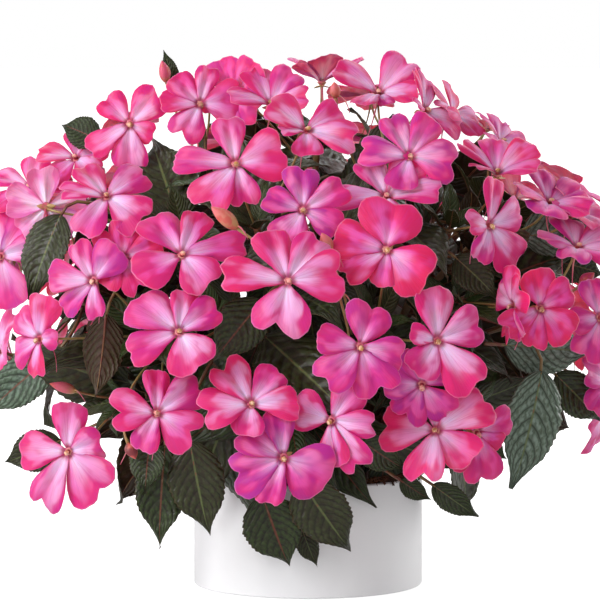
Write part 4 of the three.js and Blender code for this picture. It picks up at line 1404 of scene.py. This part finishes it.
def fill_leaf(station, dice, trees):
    """A leaf of the plant's inside on a free station, or None if there is no room."""
    for i in range(FILL_TRIES):
        size = FILL_LONGEST + (FILL_SHORTEST - FILL_LONGEST) * i / FILL_TRIES
        out = dome_normal(station.place)
        side = unit(np.cross(UPRIGHT, out))
        up = np.cross(out, side)
        turn = dice.uniform(0, 2 * math.pi)
        lean = dice.uniform(0.6, 1.7)
        way = (side * math.cos(turn) + up * math.sin(turn)) * math.sin(lean) + out * math.cos(lean)
        foot = station.place + way * dice.uniform(9, 15)
        tip = foot + way * size - UPRIGHT * size * 0.15
        facing = unit(out + UPRIGHT * 0.5 + side * dice.uniform(-0.4, 0.4))
        half = size * dice.uniform(0.2, 0.24)
        leaf = Leaf(foot, tip, facing, half, dice.uniform(-2, 2), station.place)
        if inside_dome(tip, 0.97) and tip[2] > 40 and all(clear_of(t, leaf, FILL_ROOM) for t in trees):
            return leaf
    return None


def stem_radii(path, is_main):
    """A stem's radii: even taper, with a swelling at every third station."""
    foot = STEM_FOOT if is_main else BRANCH_FOOT
    t = np.linspace(0, 1, len(path))
    radii = foot + (STEM_TIP - foot) * t
    step = STATION_STEP * (0.5 if is_main else 1)
    for i in range(0, STATION_COUNT, 3):
        radii = radii * (1 + 0.22 * np.exp(-(((t - STATION_FIRST + i * step) / 0.014) ** 2)))
    return radii


def start_shoot(node, lines, leaf_cloud):
    """The stems of a shoot and the leaves that its solid has."""
    leaves = Piece(f"{node}_leaves", LEAF, LEAF_BACK)
    stems = Piece(f"{node}_stems", STEM)
    petioles = Piece(f"{node}_petioles", STEM)
    for k, line in enumerate(lines):
        path = smoothed(line, STEM_STEP)
        add_rod(stems, path, stem_radii(path, k == 0), 12, seed=k * 0.2)
    for leaf in leaves_of(node):
        add_leaf(leaves, leaf, *LEAF_GRID, leaf_cloud)
        add_petiole(petioles, leaf)
    return leaves, stems, petioles


def stalks_and_buds(node, number):
    """The flower stalks of a shoot, which are given back unfinished, and its buds."""
    stalks = Piece(f"{node}_stalks", STALK)
    for i, path in enumerate(stalk_paths[number]):
        add_stalk(stalks, path, i * 0.17)
    own = [(i, b) for i, b in enumerate(buds) if b[4].shoot == number]
    if own:
        closed = Piece(f"{node}_buds", BUD, SEPAL)
        for i, (foot, tip, heading, radius, station) in own:
            add_stalk(stalks, stalk_path(station.place, foot + heading, heading), i * 0.31)
            add_bud(closed, foot, tip, radius, i)
        closed.finish("petals")
    return stalks


def build_shoots():
    """Stems, leaves, stalks and buds of the eight shoots."""
    dice = random.Random(7)
    leaf_cloud = []
    names = [f"leafy_shoot_{number + 1:02d}" for number in range(len(shoots))]
    started = [start_shoot(node, lines, leaf_cloud) for node, lines in zip(names, shoots)]
    petal_tree = tree_of(petal_cloud)
    for number, (leaves, stems, petioles) in enumerate(started):
        for line in shoots[number]:
            for leaf in young_leaves(line, dice, [petal_tree, tree_of(leaf_cloud)]):
                add_leaf(leaves, leaf, *YOUNG_GRID, leaf_cloud)
                add_petiole(petioles, leaf, 0.7)
        for station in [s for s in stations if s.shoot == number and not s.taken][::2]:
            leaf = fill_leaf(station, dice, [petal_tree, tree_of(leaf_cloud)])
            if leaf:
                add_leaf(leaves, leaf, *FILL_GRID, leaf_cloud)
                add_petiole(petioles, leaf, 0.9)
        stalks = stalks_and_buds(names[number], number)
        stems.finish("foliage", names[number])
        leaves.finish("foliage")
        petioles.finish("foliage")
        if stalks.count:
            stalks.finish("foliage")


# The pot and its soil

POT_SIDES = 160
SOIL_SIDES = 96
SOIL_RINGS = 40
CROWN_RADIUS = 71
CRUMBS = 620
FIBRES_ON_SOIL = 150
FIBRES_OVER_RIM = 64


def arc(centre_r, centre_z, radius, start, stop, steps):
    """Points of an arc of a profile."""
    turns = np.radians(np.linspace(start, stop, steps + 1))
    return [(centre_r + radius * math.cos(a), centre_z + radius * math.sin(a)) for a in turns]


def build_pot():
    lip = POT_WALL / 2
    profile = [
        (0, 1.2), (POT_RADIUS - 14, 1.2), *arc(POT_RADIUS - 11, 1.2, 1.2, 180, 270, 4),
        *arc(POT_RADIUS - 1.4, 1.4, 1.4, -90, 0, 6), (POT_RADIUS, POT_HEIGHT * 0.5),
        *arc(POT_RADIUS - lip, POT_HEIGHT - lip, lip, 0, 180, 12),
        (POT_RADIUS - POT_WALL, POT_HEIGHT * 0.5),
        *arc(POT_RADIUS - POT_WALL - 2, POT_FLOOR + 2, 2, 0, -90, 5), (0, POT_FLOOR),
    ]
    points, faces = lathe(profile, POT_SIDES)
    pot = Piece("pot_wall", POT)
    pot.add(points, faces)
    made = pot.finish("pot", "pot")
    cut_drains(made)


def cut_drains(pot):
    """Cuts the four drain holes through the floor."""
    tool = bmesh.new()
    radius = DRAIN_RADIUS * MM
    for i in range(DRAINS):
        a = 2 * math.pi / DRAINS * (i + 0.5)
        made = bmesh.ops.create_cone(
            tool, cap_ends=True, segments=32, radius1=radius, radius2=radius, depth=20 * MM
        )
        place = vec(DRAIN_RING * math.sin(a), DRAIN_RING * math.cos(a), 2) * MM
        bmesh.ops.translate(tool, verts=made["verts"], vec=Vector(place))
    mesh = bpy.data.meshes.new("drains")
    tool.to_mesh(mesh)
    tool.free()
    drains = bpy.data.objects.new("drains", mesh)
    bpy.context.scene.collection.objects.link(drains)
    cut = pot.modifiers.new("drains", "BOOLEAN")
    cut.object = drains
    cut.operation = "DIFFERENCE"
    cut.solver = "EXACT"
    evaluated = pot.evaluated_get(bpy.context.evaluated_depsgraph_get())
    pot.data = bpy.data.meshes.new_from_object(evaluated)
    pot.modifiers.clear()
    bpy.data.objects.remove(drains)


def soil_height(x, y):
    r = np.hypot(x, y)
    rise = SOIL_CROWN * (1 - (r / CROWN_RADIUS) ** 2)
    rough = 0.8 * np.sin(x * 0.37 + 1.3) * np.sin(y * 0.41) + 0.5 * np.sin(x * 0.9 + y * 0.7)
    return SOIL_TOP - 0.5 + rise + rough + 0.35 * np.sin(x * 2.1 - y * 1.7)


def soil_spot(dice, reach):
    """A random place on the soil, up to a reach from the pot's axis."""
    a = dice.uniform(0, 2 * math.pi)
    r = reach * math.sqrt(dice.random())
    return r * math.cos(a), r * math.sin(a)


def build_soil():
    """The soil's uneven top and its crumbs, bark and fibres."""
    dice = random.Random(3)
    radius = POT_RADIUS - POT_WALL - CLEARANCE
    body = Piece("soil_bed", SOIL)
    rings = [(0, POT_FLOOR + CLEARANCE + 2), (radius - 3, POT_FLOOR + CLEARANCE + 2), (radius, POT_FLOOR + 6)]
    rings += [(radius * (1 - i / SOIL_RINGS), SOIL_TOP) for i in range(SOIL_RINGS)] + [(0, SOIL_TOP)]
    points, faces = lathe(rings, SOIL_SIDES)
    top = points[:, 2] > SOIL_TOP - 1
    points[top, 2] = soil_height(points[top, 0], points[top, 1])
    body.add(points, faces)
    crumbs = Piece("soil_crumbs", SOIL, FIBRE)
    lump = bmesh.new()
    bmesh.ops.create_icosphere(lump, subdivisions=1, radius=1)
    ball = np.array([v.co for v in lump.verts])
    ball_faces = np.array([[v.index for v in f.verts] for f in lump.faces])
    lump.free()
    for _ in range(CRUMBS):
        x, y = soil_spot(dice, radius - 2.5)
        size = dice.uniform(0.8, 2.6)
        stretch = vec(dice.uniform(0.6, 1.6), dice.uniform(0.6, 1.3), dice.uniform(0.5, 0.9))
        jag = np.array([dice.uniform(0.7, 1.25) for _ in ball])[:, None]
        place = vec(x, y, float(soil_height(x, y)) + size * 0.25)
        crumbs.add(place + ball * jag * stretch * size, [ball_faces], int(dice.random() < 0.25))
    for _ in range(FIBRES_ON_SOIL):
        x, y = soil_spot(dice, radius - 6)
        add_strand(crumbs, dice, x, y, dice.uniform(8, 20), 0.8)
    for _ in range(FIBRES_OVER_RIM):
        add_rim_strand(crumbs, dice)
    body.finish("soil", "soil")
    crumbs.finish("soil")


def add_rim_strand(piece, dice):
    """A fibre that comes out of the soil and leans over the front of the rim."""
    a = -math.pi / 2 + dice.uniform(0.42, 0.92)
    b = a + dice.uniform(-0.34, 0.34)
    start = vec(math.cos(a), math.sin(a), 0) * dice.uniform(56, 67) + UPRIGHT * (SOIL_TOP + 0.5)
    over = vec(math.cos(b), math.sin(b), 0) * POT_RADIUS
    end = over * dice.uniform(0.98, 1.02) + UPRIGHT * (POT_HEIGHT + dice.uniform(0.6, 4))
    if dice.random() < 0.2:
        end = over * 1.02 + UPRIGHT * (POT_HEIGHT - dice.uniform(0, 5))
    bend = over * 0.97 + UPRIGHT * (POT_HEIGHT + dice.uniform(3, 9))
    add_rod(piece, bent(start, bend, end, 7), dice.uniform(0.2, 0.6), 5, kind=1)


def add_strand(piece, dice, x, y, length, rise):
    """A fibre that lies on the soil, its middle lifted by rise."""
    turn = dice.uniform(0, 2 * math.pi)
    way = vec(math.cos(turn), math.sin(turn), 0) * length / 2
    middle = vec(x, y, 0)
    ends = []
    for p in (middle - way, middle, middle + way):
        flat = np.hypot(p[0], p[1])
        p = p * min(1, (POT_RADIUS - POT_WALL - 2) / max(flat, 1))
        ends.append(vec(p[0], p[1], float(soil_height(p[0], p[1])) + 0.3))
    ends[1] = ends[1] + UPRIGHT * rise * dice.uniform(0.6, 1.6) + way * dice.uniform(-0.3, 0.3)
    path = bent(ends[0], ends[1] * 2 - (ends[0] + ends[2]) / 2, ends[2], 6)
    add_rod(piece, path, dice.uniform(0.18, 0.42), 5, kind=1)


# Light, floor and camera

# Soft lights: name, place in metres, size in metres, watts and the height aimed at
LIGHTS = [
    ("key", (-1.9, -1.6, 1.6), (1.3, 1.3), 55, 0.18),
    ("front", (0.0, -2.7, 1.1), (1.8, 1.2), 11, 0.18),
    ("low_left", (-2.3, -1.3, 0.35), (0.9, 0.5), 12, 0.06),
    ("right_edge", (1.8, 1.1, 0.9), (0.8, 1.4), 26, 0.18),
    ("left_edge", (-1.9, 1.0, 1.0), (0.8, 1.4), 14, 0.18),
    ("behind", (0.2, 1.9, 1.7), (1.8, 1.2), 24, 0.18),
]
FLOOR_RADIUS = 9


def add_light(name, place, size, power, aim_height):
    data = bpy.data.lights.new(name, "AREA")
    data.shape = "RECTANGLE"
    data.size, data.size_y = size
    data.energy = power
    lamp = bpy.data.objects.new(name, data)
    lamp.location = place
    aim = Vector((0, 0, aim_height)) - Vector(place)
    lamp.rotation_euler = aim.to_track_quat("-Z", "Y").to_euler()
    lamp.visible_camera = False
    bpy.context.scene.collection.objects.link(lamp)


def build_studio():
    """The lights, an even white surrounding and a pale floor."""
    for light in LIGHTS:
        add_light(*light)
    world = bpy.data.worlds.new("studio")
    bpy.context.scene.world = world
    world.use_nodes = True
    g = Graph(world.node_tree)
    background = world.node_tree.nodes["Background"]
    background.inputs["Color"].default_value = (1, 1, 1, 1)
    seen = g.node("ShaderNodeLightPath").outputs["Is Camera Ray"]
    g.put(background.inputs["Strength"], g.ramp(seen, 0.0, 1.0, 0.4, 1.0))
    floor_material, g, out = new_material("Pale floor", Roughness=0.9, Emission_Strength=1.0)
    g.put(out["Base Color"], g.mix(g.group(GRAIN, Scale=3.0)[0], (0.5, 0.5, 0.5, 1), (0.52, 0.52, 0.52, 1)))
    place = g.node("ShaderNodeTexCoord").outputs["Object"]
    distance = g.node("ShaderNodeVectorMath", {0: place}, operation="LENGTH").outputs["Value"]
    seen = g.node("ShaderNodeLightPath").outputs["Is Camera Ray"]
    glow = g.times(g.ramp(distance, 0.3, 1.1, 0.72, 1.0), g.ramp(seen, 0.0, 1.0, 0.3, 1.0))
    g.put(out["Emission Color"], g.combine(glow, glow, glow))
    bpy.ops.mesh.primitive_circle_add(vertices=96, radius=FLOOR_RADIUS, fill_type="NGON", location=(0, 0, 0))
    floor = bpy.context.object
    floor.name = "floor"
    floor.data.materials.append(floor_material)


def build_camera():
    data = bpy.data.cameras.new("camera")
    data.sensor_width = SENSOR
    data.lens = SENSOR * EYE_DISTANCE / PICTURE_WIDTH
    camera = bpy.data.objects.new("camera", data)
    camera.location = Vector(EYE * MM)
    aim = Vector(on_plane(*EYE_AIM) * MM)
    camera.rotation_euler = (aim - camera.location).to_track_quat("-Z", "Y").to_euler()
    bpy.context.scene.collection.objects.link(camera)
    bpy.context.scene.camera = camera
    bpy.context.scene.view_settings.view_transform = "Standard"


build_camera()
build_studio()
stalk_paths = front_stalks()
buds = bud_plans()
sprays = spray_plans()
for pair in [row for row in front_flowers if len(row) > 1]:
    goal = pair[1].back(CLEARANCE)
    spot = take(goal, pair[1].normal)
    stalk_paths[spot.shoot].append(stalk_path(spot.place, goal, pair[1].normal))
build_flowers()
build_sprays()
build_shoots()
build_pot()
build_soil()
